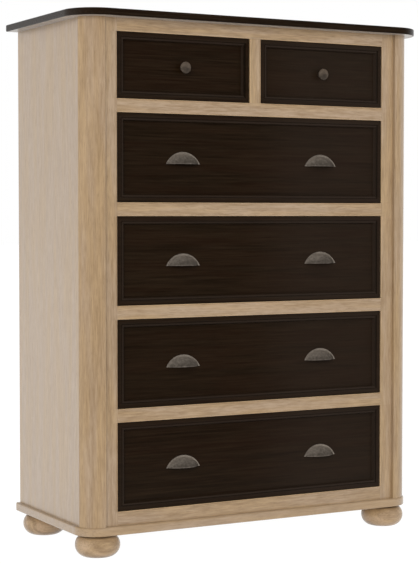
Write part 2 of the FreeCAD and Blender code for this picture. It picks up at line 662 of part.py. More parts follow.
def drawer_side(label, x, z, height, inner_face_right):
    """Side of a drawer box, with the groove that holds the bottom on its inner face."""
    body = named("PartDesign::Body", label)
    sketch = new_sketch(body, f"{label}_section", "XZ_Plane")
    outer = "sizes.side_thickness"
    low = "sizes.bottom_rise - sizes.groove_clearance"
    high = "sizes.bottom_rise + sizes.bottom_thickness + sizes.groove_clearance"
    if inner_face_right:
        groove = "sizes.side_thickness - sizes.groove_depth"
        polygon(sketch, ((None, None), (outer, None), (outer, low), (groove, low),
                         (groove, high), (outer, high), (outer, height), (None, height)))
    else:
        groove = "sizes.groove_depth"
        polygon(sketch, ((None, None), (outer, None), (outer, height), (None, height),
                         (None, high), (groove, high), (groove, low), (None, low)))
    feature(body, "Pad", f"{label}_length", sketch, reverse=True, Length=f"{BOX_LENGTH} + sizes.lap_depth")
    place(body, x, f"{BEHIND_FRONT_Y} - sizes.lap_depth", z)
    node(body)


def crescent(sketch, half_width, rise, wall):
    """Thin bow between two arcs on one chord, which lies on the sketch's level axis."""
    ends = []
    for half, crown in ((half_width, rise), (f"({half_width} - {wall})", f"({rise} - {wall})")):
        radius = f"({half} ^ 2 + {crown} ^ 2) / (2 * {crown})"
        drop = number(radius) - number(crown)
        bow = arc(sketch, (0, -drop), number(radius), (number(half), 0), (-number(half), 0))
        sketch.addConstraint(Sketcher.Constraint("PointOnObject", bow, 3, -2))
        sketch.addConstraint(Sketcher.Constraint("PointOnObject", bow, 1, -1))
        sketch.addConstraint(Sketcher.Constraint("PointOnObject", bow, 2, -1))
        bound(sketch, "DistanceX", bow, 2, bow, 1, size=f"2 * {half}")
        bound(sketch, "Radius", bow, size=radius)
        ends.append((bow, number(half)))
    (outer, outer_half), (inner, inner_half) = ends
    for end, sign in ((1, 1), (2, -1)):
        tip = line(sketch, (sign * inner_half, 0), (sign * outer_half, 0))
        sketch.addConstraint(Sketcher.Constraint("Coincident", tip, 1, inner, end))
        sketch.addConstraint(Sketcher.Constraint("Coincident", tip, 2, outer, end))


def cup_pull(label, x, z):
    """Half-moon cup: a crescent turned up about a level axis behind the drawer's face, on a flat flange."""
    body = named("PartDesign::Body", label)
    sketch = new_sketch(body, f"{label}_lip", "XY_Plane")
    crescent(sketch, "sizes.cup_half_width", "sizes.cup_reach", "sizes.cup_wall")
    back_set = "((sizes.cup_rise ^ 2 - sizes.cup_reach ^ 2) / (2 * sizes.cup_reach))"
    half, depth = number("sizes.cup_half_width"), number(back_set)
    axis = line(sketch, (-half, -depth), (half, -depth))
    sketch.toggleConstruction(axis)
    sketch.addConstraint(Sketcher.Constraint("Horizontal", axis))
    bound(sketch, "DistanceY", axis, 1, -1, 1, size=back_set)
    bound(sketch, "DistanceX", axis, 1, axis, 2, size="2 * sizes.cup_half_width")
    bound(sketch, "DistanceX", axis, 1, -1, 1, size="sizes.cup_half_width")
    turn = body.newObject("PartDesign::Revolution", f"{label}_bowl")
    turn.Profile = sketch
    turn.ReferenceAxis = (sketch, ["Axis0"])
    turn.Angle = FULL_TURN / 4
    behind = new_sketch(body, f"{label}_behind", "XZ_Plane")
    span, tall = "(2 * sizes.flange_half_width)", "(2 * sizes.flange_rise)"
    rectangle(behind, span, tall)
    behind.setExpression("AttachmentOffset.Base.x", "-sizes.flange_half_width")
    behind.setExpression("AttachmentOffset.Base.y", "-sizes.flange_rise / 2")
    feature(body, "Pocket", f"{label}_seat", behind, reverse=True, Length=f"2 * sizes.cup_rise + {back_set}")
    flange = new_sketch(body, f"{label}_flange", "XZ_Plane")
    overlap = "(sizes.flange_half_width - sizes.cup_half_width + sizes.cup_wall)"
    crescent(flange, "sizes.flange_half_width", "sizes.flange_rise", overlap)
    feature(body, "Pad", f"{label}_plate", flange, reverse=True, Length="sizes.flange_thickness")
    body.Placement.Rotation = FreeCAD.Rotation(FreeCAD.Vector(0, 0, 1), FULL_TURN / 2)
    place(body, x, FIELD_Y, f"{z} + sizes.flange_crown - sizes.flange_rise")
    return body


def knob_outline(sketch):
    """Half section of a knob: a foot, a coved waist, a flare, a straight rim and a domed face."""
    foot, stem, reach = "sizes.knob_foot_radius", "sizes.knob_stem_radius", "sizes.knob_reach"
    rim, rim_top = "sizes.knob_radius", f"({reach} - sizes.knob_dome)"
    cove_top = f"(sizes.knob_foot_height + {foot} - {stem})"
    under_rim = f"({rim_top} - sizes.knob_rim)"
    waist_top = f"({under_rim} - sizes.knob_flare)"
    spots = ((None, None), (foot, None), (foot, "sizes.knob_foot_height"), (stem, cove_top),
             (stem, waist_top), (rim, under_rim), (rim, rim_top), (None, reach))
    at = [tuple(0.0 if part is None else number(part) for part in spot) for spot in spots]
    radius = number(f"({rim} ^ 2 + sizes.knob_dome ^ 2) / (2 * sizes.knob_dome)")
    floor = line(sketch, at[0], at[1])
    edge = line(sketch, at[1], at[2])
    cove = arc(sketch, (at[2][0], at[3][1]), at[2][0] - at[3][0], at[3], at[2])
    waist = line(sketch, at[3], at[4])
    flare = line(sketch, at[4], at[5])
    side = line(sketch, at[5], at[6])
    dome = arc(sketch, (0, at[7][1] - radius), radius, at[6], at[7])
    axis = line(sketch, at[7], at[0])
    chain = [(piece, 1, 2) for piece in (floor, edge, cove, waist, flare, side, dome, axis)]
    chain[2] = (cove, 2, 1)
    for (geometry, start, finish), spot in zip(chain, spots):
        pin_point(sketch, geometry, start, *spot)
    for (geometry, start, finish), (follower, meets, other) in zip(chain, chain[1:] + chain[:1]):
        sketch.addConstraint(Sketcher.Constraint("Coincident", geometry, finish, follower, meets))
    bound(sketch, "DistanceX", -1, 1, cove, 3, size=foot)
    sketch.addConstraint(Sketcher.Constraint("PointOnObject", dome, 3, -2))


def knob(label, x, z):
    body = revolved(label, knob_outline, plane_role="XY_Plane")
    body.Placement.Rotation = FreeCAD.Rotation(FreeCAD.Vector(0, 0, 1), FULL_TURN / 2)
    place(body, x, FIELD_Y, z)
    node(body)


def drawer(name, left, opening_z, opening_width, opening_height, side_height):
    """Drawer box behind an inset front: two lapped sides, a back and a bottom held in grooves."""
    gap, wall = "sizes.front_gap", "sizes.side_thickness"
    low = f"({opening_z} + sizes.run_clearance)"
    box_left = f"({left} + {gap})"
    box_width = f"({opening_width} - 2 * {gap})"
    front_height = f"({opening_height} - 2 * {gap})"
    drawer_front(f"{name}_front", box_left, f"{opening_z} + {gap}", box_width, front_height, side_height)
    drawer_side(f"{name}_side_left", box_left, low, side_height, True)
    drawer_side(f"{name}_side_right", f"{box_left} + {box_width} - {wall}", low, side_height, False)
    floor = f"({low} + sizes.bottom_rise)"
    node(board(f"{name}_bottom",
               (f"{box_left} + {wall} - {INTO_GROOVE}", f"{BEHIND_FRONT_Y} - {INTO_GROOVE}", floor),
               (f"{box_width} - 2 * {wall} + 2 * {INTO_GROOVE}", f"{BOX_LENGTH} + {INTO_GROOVE}",
                "sizes.bottom_thickness")))
    lift = "(sizes.bottom_rise + sizes.bottom_thickness)"
    node(board(f"{name}_back", (f"{box_left} + {wall}", f"{DRAWER_END_Y} - {wall}", f"{low} + {lift}"),
               (f"{box_width} - 2 * {wall}", wall, f"{side_height} - {lift}")))


def drawers():
    """Two small drawers with a knob each over large drawers with a pair of cup pulls."""
    far_left, left_of_right = f"-{HALF_OPENING}", "(sizes.divider_width / 2)"
    middle = f"{SMALL_OPENING_Z} + sizes.small_opening / 2"
    for side, left, x in (("left", far_left, f"-{PULL_X}"), ("right", left_of_right, PULL_X)):
        name = f"top_drawer_{side}"
        drawer(name, left, SMALL_OPENING_Z, SMALL_OPENING_WIDTH, "sizes.small_opening",
               "sizes.small_side_height")
        knob(f"{name}_knob", x, middle)
    for index in range(LARGE_DRAWERS):
        name = f"drawer_{index + 1}"
        opening_z = f"({SMALL_OPENING_Z} - {index + 1} * {PITCH})"
        drawer(name, far_left, opening_z, "sizes.opening_width", "sizes.large_opening",
               "sizes.large_side_height")
        middle = f"{opening_z} + sizes.large_opening / 2"
        node(group(f"{name}_pulls", [cup_pull(f"{name}_pull_left", f"-{PULL_X}", middle),
                                     cup_pull(f"{name}_pull_right", PULL_X, middle)]))


def write_parts():
    """Check every object, then write each sub-part under its label."""
    doc.recompute()
    broken = [item.Label for item in doc.Objects if "Invalid" in item.State or "Error" in item.State]
    if broken:
        raise RuntimeError(f"failed objects: {broken}")
    for piece in nodes:
        if piece.Shape.isNull() or not piece.Shape.isValid() or not piece.Shape.Solids:
            raise RuntimeError(f"no sound solid: {piece.Label}")
    os.makedirs("parts", exist_ok=True)
    for piece in nodes:
        piece.Shape.exportStep(f"parts/{piece.Label}.step")
        box = piece.Shape.optimalBoundingBox()
        print(f"{piece.Label}: {len(piece.Shape.Solids)} solid(s), x {box.XMin:.1f} {box.XMax:.1f}, "
              f"y {box.YMin:.1f} {box.YMax:.1f}, z {box.ZMin:.1f} {box.ZMax:.1f}")


top_board()
side_panels()
front_posts()
face_frame()
back()
base_board()
feet()
runners()
drawers()
write_parts()
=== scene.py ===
import math

import bmesh
import bpy
import numpy as np
from bpy.props import FloatProperty, FloatVectorProperty, IntProperty, PointerProperty
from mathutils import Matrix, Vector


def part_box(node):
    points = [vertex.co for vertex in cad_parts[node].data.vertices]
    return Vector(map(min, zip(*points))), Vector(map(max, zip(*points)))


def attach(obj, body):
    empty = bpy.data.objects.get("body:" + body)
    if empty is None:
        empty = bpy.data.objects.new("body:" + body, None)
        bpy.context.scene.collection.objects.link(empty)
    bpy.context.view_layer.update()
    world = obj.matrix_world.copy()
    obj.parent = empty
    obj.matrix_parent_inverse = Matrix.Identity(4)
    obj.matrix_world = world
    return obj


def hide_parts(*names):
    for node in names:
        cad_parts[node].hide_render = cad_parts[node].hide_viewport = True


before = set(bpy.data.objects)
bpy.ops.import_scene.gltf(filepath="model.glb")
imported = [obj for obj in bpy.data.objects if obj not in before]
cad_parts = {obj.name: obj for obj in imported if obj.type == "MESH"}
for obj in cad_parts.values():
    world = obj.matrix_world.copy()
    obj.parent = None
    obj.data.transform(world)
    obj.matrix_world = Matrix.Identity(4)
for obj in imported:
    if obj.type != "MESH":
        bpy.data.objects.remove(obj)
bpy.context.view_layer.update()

bl_info = {
    "name": "Tall chest of drawers",
    "version": (1, 0, 0),
    "blender": (4, 5, 0),
    "location": "View3D > Sidebar > Chest",
    "description": "Dresses the packed chest of drawers in oak, dark stain and pewter",
    "category": "Object",
}

SMALL_DRAWERS = ("top_drawer_left", "top_drawer_right")
LARGE_DRAWERS = ("drawer_1", "drawer_2", "drawer_3", "drawer_4")
RAILS = ("top_rail", "drawer_rail_1", "drawer_rail_2", "drawer_rail_3", "drawer_rail_4", "bottom_rail")
FEET = ("foot_front_left", "foot_front_right", "foot_back_left", "foot_back_right")
GOLDEN = 0.61803
QUARTER = math.pi / 2
SHARP_ANGLE = math.radians(38)
WELD = 1e-6
UNDERSIDE_FADE = 0.0006
# painted sheen on the right stile beside the post
STILE_SHEEN = 0.2
# painted shade on the right post's arris
POST_SHADE = -0.1
# painted shadow on the top of a foot's shoulder and on its neck, under the base board
FOOT_CREASE = (-0.1, -0.4, -0.6, -0.6, -0.4)
NECK_CREASE = -0.3
# painted light and shade across the fronts' groove, bead and wall: lit sides and the shaded right end
FRONT_LIT = ((0.3, 0.3, 0.3, 0.3), 0.6, 0.3)
FRONT_SHADED = ((0.0, -0.3, -0.7, -1.0), -0.8, 0.7)
FRONT_ARRIS = 0.0004
MITRE_CUT = 0.0004
FLANGE_MARGIN = 0.005
# painted light on the knobs, paler above and darker below
KNOB_LIGHT = 1.1
KNOB_PLATE = 0.0015
SCREW_RISE = 0.016
SCREW_SPREAD = 0.032
SCREW_HEIGHT = 0.0022
NAIL_MARGIN = 0.012
NAIL_SUNK = 0.0008
NAIL_HEIGHT = 0.0004


def length(name, description, default, least):
    """Property for a length in metres."""
    return FloatProperty(name=name, description=description, default=default, min=least, unit="LENGTH")


class ChestSizes(bpy.types.PropertyGroup):
    """Sizes of the fine shapes that the boards and fittings are finished with."""

    frame_ease: length("Frame easing", "Rounded edge of the drawer openings", 0.0016, 0.0001)
    post_ease: length("Post easing", "Rounded arris of the corner post", 0.0014, 0.0001)
    post_radius: length("Post round", "Radius of the rounded post", 0.062, 0.01)
    panel_ease: length("Panel easing", "Rounded back edge of a side panel", 0.0012, 0.0001)
    top_corner: length("Top corner", "Radius of the top board's front corners", 0.089, 0.01)
    top_ease: length("Top easing", "Rounded edge of the top board", 0.003, 0.0001)
    base_corner: length("Base corner", "Radius of the base board's front corners", 0.064, 0.01)
    base_ease: length("Base rounding", "Rounded upper edge of the base board", 0.0045, 0.0001)
    base_lower_ease: length("Base easing", "Eased lower edge of the base board", 0.003, 0.0001)
    foot_belly: length("Foot belly", "Height of the widest part of a bun foot", 0.03, 0.005)
    foot_sole: length("Foot sole", "Radius of a foot's flat underside", 0.038, 0.005)
    foot_crown: length("Foot crown", "Radius of a foot's shoulder", 0.045, 0.005)
    foot_neck: length("Foot neck", "Radius of the short neck over a foot", 0.038, 0.005)
    neck_height: length("Neck height", "Height of the short neck over a foot", 0.003, 0.0005)
    front_border: length("Front border", "Flat border of a drawer front", 0.011, 0.001)
    quirk_width: length("Groove width", "Fine groove between border and bead", 0.0015, 0.0002)
    quirk_depth: length("Groove depth", "Fine groove between border and bead", 0.0025, 0.0002)
    bead_width: length("Bead", "Rounded bead inside the border", 0.0055, 0.001)
    bead_round: length("Bead round", "Rounded edges of the bead", 0.002, 0.0002)
    slope_width: length("Wall slope", "Sloped wall from the bead to the field", 0.003, 0.0002)
    field_depth: length("Field depth", "Sunk field behind the border", 0.0095, 0.001)
    front_ease: length("Front easing", "Rounded edge of a drawer front", 0.0012, 0.0001)
    cup_half_width: length("Cup half width", "Half the mouth of a cup pull", 0.046, 0.01)
    cup_rise: length("Cup rise", "Cup from its lip to its crown", 0.028, 0.005)
    cup_wall: length("Cup wall", "Wall of a cup pull", 0.002, 0.0005)
    flange_thickness: length("Flange", "Thickness of a cup pull's flange", 0.0016, 0.0005)
    knob_stem: length("Knob waist", "Radius of a knob's waist", 0.006, 0.001)
    knob_foot: length("Knob foot", "Radius of a knob's foot", 0.0085, 0.001)
    knob_rim: length("Knob rim", "Straight rim of a knob", 0.002, 0.0005)
    knob_dome: length("Knob dome", "Domed face of a knob", 0.006, 0.001)
    screw_radius: length("Screw head", "Radius of a pull's screw head", 0.004, 0.001)
    nail_radius: length("Nail head", "Radius of a nail head on the back panel", 0.0022, 0.0005)
    round_steps: IntProperty(name="Steps of a round", description="Facets across a small rounded edge",
                             default=5, min=2, max=16)


def colour(name, description, default):
    """Property for a colour in linear light."""
    return FloatVectorProperty(name=name, description=description, subtype="COLOR", size=3,
                               min=0.0, max=1.0, default=default)


class ChestColours(bpy.types.PropertyGroup):
    """Colours of the finishes, as linear light."""

    oak: colour("Oak", "Body of the bleached oak", (0.497, 0.335, 0.178))
    oak_pink: colour("Pink oak", "Body of the oak where it drifts to pink", (0.482, 0.346, 0.228))
    oak_foot: colour("Foot oak", "Body of the turned feet", (0.555, 0.385, 0.235))
    oak_grain: colour("Oak grain", "Darker growth lines of the oak", (0.3, 0.188, 0.092))
    stain: colour("Dark stain", "Body of the stained fronts and top", (0.0088, 0.0042, 0.0012))
    stain_red: colour("Red stain", "Body of the stain where it drifts to red", (0.0125, 0.0048, 0.0014))
    stain_grain: colour("Stain grain", "Lighter grain that shows in the stain", (0.0236, 0.013, 0.0058))
    # underside colour: partly unstained wood, partly painted sheen
    underside: colour("Underside", "Pale underside of the top", (0.47, 0.42, 0.378))
    drawer_wood: colour("Drawer wood", "Sides and backs of the drawers", (0.52, 0.38, 0.235))
    drawer_grain: colour("Drawer grain", "Grain of the drawer wood", (0.4, 0.27, 0.15))
    plywood: colour("Plywood", "Back panel and drawer bottoms", (0.46, 0.33, 0.2))
    plywood_grain: colour("Plywood grain", "Grain of the plywood", (0.33, 0.215, 0.12))
    pewter: colour("Pewter", "Polished parts of the pulls", (0.385, 0.326, 0.268))
    pewter_patina: colour("Patina", "Dark film in the hollows of the pulls", (0.098, 0.079, 0.062))
    knob: colour("Knob", "Polished parts of the knobs", (0.205, 0.157, 0.116))
    knob_patina: colour("Knob patina", "Dark film on the knobs", (0.045, 0.034, 0.026))
    steel: colour("Steel", "Screws, nails and foot bolts", (0.5, 0.49, 0.47))
    floor: colour("Floor", "Floor and surroundings", (0.9, 0.9, 0.9))


def sizes():
    """The sizes set in this scene."""
    return bpy.context.scene.chest_sizes


def colours():
    """The colours set in this scene."""
    return bpy.context.scene.chest_colours


class Wire:
    """Socket of a node tree that joins in Python arithmetic: each operator adds a Math node."""

    def __init__(self, tree, socket=None):
        self.tree = tree
        self.socket = socket

    def node(self, kind, inputs=None, output=0, **settings):
        """Add a node: its settings first, then the values or links of its sockets."""
        made = self.tree.nodes.new(kind)
        for name, value in settings.items():
            setattr(made, name, value)
        for key, value in (inputs or {}).items():
            if isinstance(value, Wire):
                self.tree.links.new(value.socket, made.inputs[key])
            else:
                made.inputs[key].default_value = value
        return Wire(self.tree, made.outputs[output]) if made.outputs else None

    def math(self, operation, first, second=0.0):
        """One Math node."""
        return self.node("ShaderNodeMath", {0: first, 1: second}, operation=operation)

    def __add__(self, other):
        return self.math("ADD", self, other)

    def __sub__(self, other):
        return self.math("SUBTRACT", self, other)

    def __mul__(self, other):
        return self.math("MULTIPLY", self, other)

    def __rsub__(self, other):
        return self.math("SUBTRACT", other, self)

    __radd__ = __add__
    __rmul__ = __mul__

    def between(self, low, high):
        """0 below low, 1 above high and a smooth rise from one to the other."""
        return self.node("ShaderNodeMapRange", {"Value": self, "From Min": low, "From Max": high},
                         interpolation_type="SMOOTHSTEP")


def blank_material(name):
    """Material without nodes, and a wire to start them from."""
    material = bpy.data.materials.new(name)
    material.use_nodes = True
    material.node_tree.nodes.clear()
    return material, Wire(material.node_tree)


def mixed(start, share, first, second):
    """Colour that goes from the first to the second as the share goes from 0 to 1."""
    return start.node("ShaderNodeMix", {0: share, 6: first, 7: second}, output=2, data_type="RGBA")


def rgba(value):
    """Opaque colour."""
    return (*value, 1.0)


def noise(start, at, scale, detail=2.0, roughness=0.5, distortion=0.0):
    """Smooth noise whose pitch differs along the three axes."""
    stretched = start.node("ShaderNodeVectorMath", {0: at, 1: scale}, operation="MULTIPLY")
    return start.node("ShaderNodeTexNoise", {"Vector": stretched, "Scale": 1.0, "Detail": detail,
                                             "Roughness": roughness, "Distortion": distortion})


def along_grain(axis, across, along):
    """Pitches of a noise that is drawn out along the grain's axis."""
    return tuple(along if index == axis else across for index in range(3))


def wood(name, axis, body, drifted, grain, dash=5.0, contrast=1.0, figure=0.3, gloss=0.4, coat=0.0,
         wear=0.25, bump=0.25, ior=1.5, bare=None, worn=None, film=None):
    """Wood with its grain along one axis: a body that drifts between two tones, flame figure from the
    contour lines of a slow noise, streaks and fibres as long as the dash pitch allows, pores as
    short dark dashes. An edge above nought is paler or of the worn colour, which is partly
    rubbing and partly painted highlight on rounded edges; one below it is painted shade, darker in
    creases, corners and grooves. Pale below gives a pale colour below a height, partly unstained wood
    and partly painted sheen. Patina and painted sheen gives the places from left to right between
    which a painted sheen of the worn colour comes up, and its share."""
    material, start = blank_material(name)
    place = start.node("ShaderNodeTexCoord", output="Object")
    board = start.node("ShaderNodeAttribute", output="Fac", attribute_name="board")
    edge = start.node("ShaderNodeAttribute", output="Fac", attribute_name="edge")
    at = start.node("ShaderNodeVectorMath", {0: board, 1: (3.7, 5.3, 7.9), 2: place},
                    operation="MULTIPLY_ADD")
    drift = noise(start, at, along_grain(axis, 34.0, 3.0), detail=2.0)
    slow = noise(start, at, along_grain(axis, 11.0, 0.8), detail=1.0, distortion=0.4)
    flame = start.math("SINE", slow * 46.0) * 0.5 + 0.5
    fibre = noise(start, at, along_grain(axis, 300.0, 1.8 * dash), detail=3.0, roughness=0.6)
    streak = noise(start, at, along_grain(axis, 150.0, 0.6 * dash), detail=2.0)
    pores = noise(start, at, along_grain(axis, 520.0, 4.0 * dash), detail=1.0).between(0.62, 0.74)
    tone = (flame - 0.5) * figure + (fibre - 0.5) * 1.5 + (streak - 0.5) * 0.8 + (board - 0.5) * 0.1
    share = (tone * contrast + 0.42).between(-0.1, 1.1)
    bodied = mixed(start, drift.between(0.35, 0.65), rgba(body), rgba(drifted))
    tinted = mixed(start, share, bodied, rgba(grain))
    pored = mixed(start, pores * (0.35 * contrast), tinted, rgba(0.7 * channel for channel in grain))
    # paler edges: partly rubbing, partly painted highlight on rounded edges
    shown = mixed(start, edge * wear, pored, rgba(worn or [min(1.0, 1.7 * channel) for channel in body]))
    # painted shade where the edge weight is below nought, in creases, corners and grooves
    shown = mixed(start, edge * -1.0, shown, rgba(0.25 * channel for channel in grain))
    # painted sheen: a greyer, paler colour that comes up from left to right
    if film:
        first, last, most = film
        side = start.node("ShaderNodeSeparateXYZ", {0: place}, output="X").between(first, last)
        shown = mixed(start, side * most, shown, rgba(worn))
    # pale underside: partly unstained wood, partly painted sheen
    if bare:
        paint, limit = bare
        level = start.node("ShaderNodeSeparateXYZ", {0: place}, output="Z")
        below = 1.0 - level.between(limit, limit + UNDERSIDE_FADE)
        shown = mixed(start, below, shown, rgba(paint))
    height = fibre * 0.5 + streak * 0.3 - pores * 0.9
    normal = start.node("ShaderNodeBump", {"Strength": bump, "Distance": 0.0004, "Height": height})
    shader = start.node("ShaderNodeBsdfPrincipled",
                        {"Base Color": shown, "Roughness": fibre * 0.12 + pores * 0.15 + (gloss - 0.06),
                         "Normal": normal, "Coat Weight": coat, "Coat Roughness": 0.25, "IOR": ior})
    start.node("ShaderNodeOutputMaterial", {"Surface": shader})
    return material


def metal(name, bright, film, metallic=1.0, gloss=0.36):
    """Cast metal: a cloudy patina that is thin on edges and raised parts, with fine brush marks.
    The edge attribute also brings painted light and shade into the shine.
    """
    material, start = blank_material(name)
    at = start.node("ShaderNodeTexCoord", output="Object")
    edge = start.node("ShaderNodeAttribute", output="Fac", attribute_name="edge")
    cloud = noise(start, at, (140.0, 140.0, 140.0), detail=4.0, roughness=0.6)
    brush = noise(start, at, (60.0, 900.0, 900.0), detail=2.0)
    # the edge attribute adds rubbing and painted light and shade to the shine
    shine = (cloud - 0.5) * 0.9 + (brush - 0.5) * 0.4 + edge * 0.75 + 0.33
    tinted = mixed(start, shine.between(0.0, 1.0), rgba(film), rgba(bright))
    height = brush * 0.5 + cloud
    normal = start.node("ShaderNodeBump", {"Strength": 0.2, "Distance": 0.0002, "Height": height})
    shader = start.node("ShaderNodeBsdfPrincipled",
                        {"Base Color": tinted, "Roughness": (gloss + 0.1) - edge * 0.12 + (cloud - 0.5) * 0.2,
                         "Metallic": metallic, "Normal": normal})
    start.node("ShaderNodeOutputMaterial", {"Surface": shader})
    return material


def oak(name, axis, colour_set, coat=1.0, **settings):
    """Bleached oak of the case."""
    return wood(name, axis, colour_set.oak, colour_set.oak_pink, colour_set.oak_grain, dash=14.0, coat=coat,
                **settings)


def stain(name, colour_set, **settings):
    """Dark stain with level grain."""
    return wood(name, 0, colour_set.stain, colour_set.stain_red, colour_set.stain_grain, **settings)


def plain(name, axis, body, grain, **settings):
    """Unfinished wood of the inside."""
    return wood(name, axis, body, body, grain, gloss=0.58, wear=0.1, **settings)


FINISHES = {
    # the edge strength sets how much paler rounded edges get: rubbing and painted highlight
    "oak_upright": lambda c: oak("oak_upright", 2, c, figure=0.15, wear=0.5),
    "oak_post": lambda c: oak("oak_post", 2, c, coat=0.4, contrast=0.9, figure=0.15, wear=0.5),
    "oak_panel": lambda c: oak("oak_panel", 2, c, contrast=0.65, figure=0.1),
    "oak_level": lambda c: oak("oak_level", 0, c, contrast=1.1, figure=0.15, wear=0.5),
    "oak_base": lambda c: oak("oak_base", 0, c, contrast=0.7, figure=0.1, wear=0.0),
    "oak_turned": lambda c: wood("oak_turned", 0, c.oak_foot, c.oak, c.oak_grain, dash=22.0, figure=0.5,
                                 coat=0.5),
    # stain_level: painted highlights on the beads and a painted sheen towards the right
    "stain_level": lambda c: stain("stain_level", c, contrast=0.9, figure=0.1, gloss=0.36, wear=0.7, ior=1.18,
                                   worn=(0.036, 0.026, 0.02), film=(-0.05, 0.2, 0.25)),
    # stain_top: its underside is pale, partly unstained wood and partly painted sheen
    "stain_top": lambda c: stain("stain_top", c, figure=0.15, gloss=0.26, wear=0.0, ior=1.28,
                                 bare=(c.underside, corners("top_board")[0][2])),
    "drawer_long": lambda c: plain("drawer_long", 1, c.drawer_wood, c.drawer_grain),
    "drawer_level": lambda c: plain("drawer_level", 0, c.drawer_wood, c.drawer_grain),
    "plywood_level": lambda c: plain("plywood_level", 0, c.plywood, c.plywood_grain, figure=0.6),
    "plywood_upright": lambda c: plain("plywood_upright", 2, c.plywood, c.plywood_grain, figure=0.6),
    "cast_pewter": lambda c: metal("cast_pewter", c.pewter, c.pewter_patina, metallic=0.55),
    "knob_pewter": lambda c: metal("knob_pewter", c.knob, c.knob_patina, metallic=0.55),
    "zinc_steel": lambda c: metal("zinc_steel", c.steel, [0.5 * channel for channel in c.steel], gloss=0.3),
}


def finish(name):
    """The finish of that name, made when it is first asked for."""
    return bpy.data.materials.get(name) or FINISHES[name](colours())


def grid_faces(rows, columns, closed):
    """Quads of a grid of points numbered row by row; closed joins the last column to the first."""
    step = np.arange(columns if closed else columns - 1)
    base = np.arange(rows - 1)[:, None] * columns
    here, beside = base + step, base + (step + 1) % columns
    return np.stack([here, beside, beside + columns, here + columns], -1).reshape(-1, 4).tolist()


def surface(points, closed=True, capped=True, edge=None):
    """Skin of a grid of points (row, column, xyz), with flat caps on its first and last rows."""
    rows, columns = points.shape[:2]
    faces = grid_faces(rows, columns, closed)
    if capped:
        faces += [list(range(columns))[::-1], list(range((rows - 1) * columns, rows * columns))]
    weight = np.zeros((rows, columns)) if edge is None else np.broadcast_to(edge, (rows, columns))
    return points.reshape(-1, 3), faces, weight.reshape(-1)


def make_piece(name, skins, body, finish_name, nodes=()):
    """One object from its skins: doubles are welded, faces turned outwards and shading evened out.
    The board attribute gives each piece its own stretch of grain, the edge attribute its rubbing
    together with painted light and shade."""
    counts = np.cumsum([0] + [len(points) for points, faces, edge in skins])
    points = np.concatenate([points for points, faces, edge in skins])
    faces = [[corner + start for corner in face] for start, skin in zip(counts, skins) for face in skin[1]]
    mesh = bpy.data.meshes.new(name)
    mesh.from_pydata(points.tolist(), [], faces)
    mesh.attributes.new("edge", "FLOAT", "POINT").data.foreach_set(
        "value", np.concatenate([edge for points, faces, edge in skins]).astype(np.float32))
    share = (GOLDEN * (len(bpy.data.meshes) + 1)) % 1.0
    mesh.attributes.new("board", "FLOAT", "POINT").data.foreach_set(
        "value", np.full(len(points), share, np.float32))
    work = bmesh.new()
    work.from_mesh(mesh)
    bmesh.ops.remove_doubles(work, verts=work.verts, dist=WELD)
    bmesh.ops.recalc_face_normals(work, faces=work.faces)
    work.to_mesh(mesh)
    work.free()
    mesh.shade_smooth()
    mesh.set_sharp_from_angle(angle=SHARP_ANGLE)
    mesh.materials.append(finish(finish_name))
    piece = bpy.data.objects.new(name, mesh)
    bpy.context.scene.collection.objects.link(piece)
    even = piece.modifiers.new("even_shading", "WEIGHTED_NORMAL")
    even.keep_sharp = True
    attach(piece, body)
    if nodes:
        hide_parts(*nodes)
    return piece


def dress(node, finish_name):
    """Give a CAD node that keeps its own shape a finish."""
    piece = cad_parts[node]
    piece.data.materials.clear()
    piece.data.materials.append(finish(finish_name))


def corners(node):
    """Lowest and highest corner of a CAD node's box."""
    low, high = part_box(node)
    return np.array(low), np.array(high)


def quarter_turn(start):
    """Sines and cosines of evenly spaced angles over a quarter turn from a starting angle."""
    angles = start + np.linspace(0, QUARTER, sizes().round_steps + 1)
    return np.stack([np.cos(angles), np.sin(angles)], -1)


def edge_weight():
    """Rubbing and painted highlight across a rounded edge: none where it meets the flats, most in the middle.
    """
    return np.sin(np.linspace(0, math.pi, sizes().round_steps + 1))


def eased_bar(low, high, axis, low_ease, high_ease, stations, far_wear=0.0):
    """Square bar along an axis whose two front edges are rounded. At each station along the bar the
    section is the rectangle with quarter circles of that station's radius at its two front corners.
    The rounded edges get rubbing and painted highlight, and painted far sheen, a paler painted band, is added
    along the high edge."""
    across = 2 if axis == 0 else 0
    bottom, top = quarter_turn(math.pi), quarter_turn(1.5 * math.pi)
    weight = edge_weight()
    parts, wear = [], []
    for ease, turn, side, inward in ((low_ease, bottom, low[across], 1), (high_ease, top, high[across], -1)):
        centre = np.stack([side + inward * ease, low[1] + ease], -1)
        turned = turn[:, ::-1] if inward < 0 else turn
        round_part = np.stack([-inward * np.abs(turned[:, 0]), -np.abs(turned[:, 1])], -1)
        parts.append(centre[:, None, :] + ease[:, None, None] * round_part)
        wear.append(weight * (ease[:, None] > WELD) + far_wear * (inward < 0))
    back = np.array([[high[across], high[1]], [low[across], high[1]]])
    section = np.concatenate([*parts, np.broadcast_to(back, (len(stations), 2, 2))], 1)
    points = np.empty((*section.shape[:2], 3))
    points[..., axis] = stations[:, None]
    points[..., across] = section[..., 0]
    points[..., 1] = section[..., 1]
    edge = np.concatenate([*wear, np.zeros((len(stations), 2))], 1)
    return surface(points, edge=edge)


def eased_between(low, high, gaps):
    """Stations along a bar and its easing there: full inside each gap, none on the joints between."""
    ease = sizes().frame_ease
    stations, radii = [low], [0.0]
    for start, end in gaps:
        stations += [start, start + ease, end - ease, end]
        radii += [0.0, ease, ease, 0.0]
    return np.array(stations + [high]), np.array(radii + [0.0])


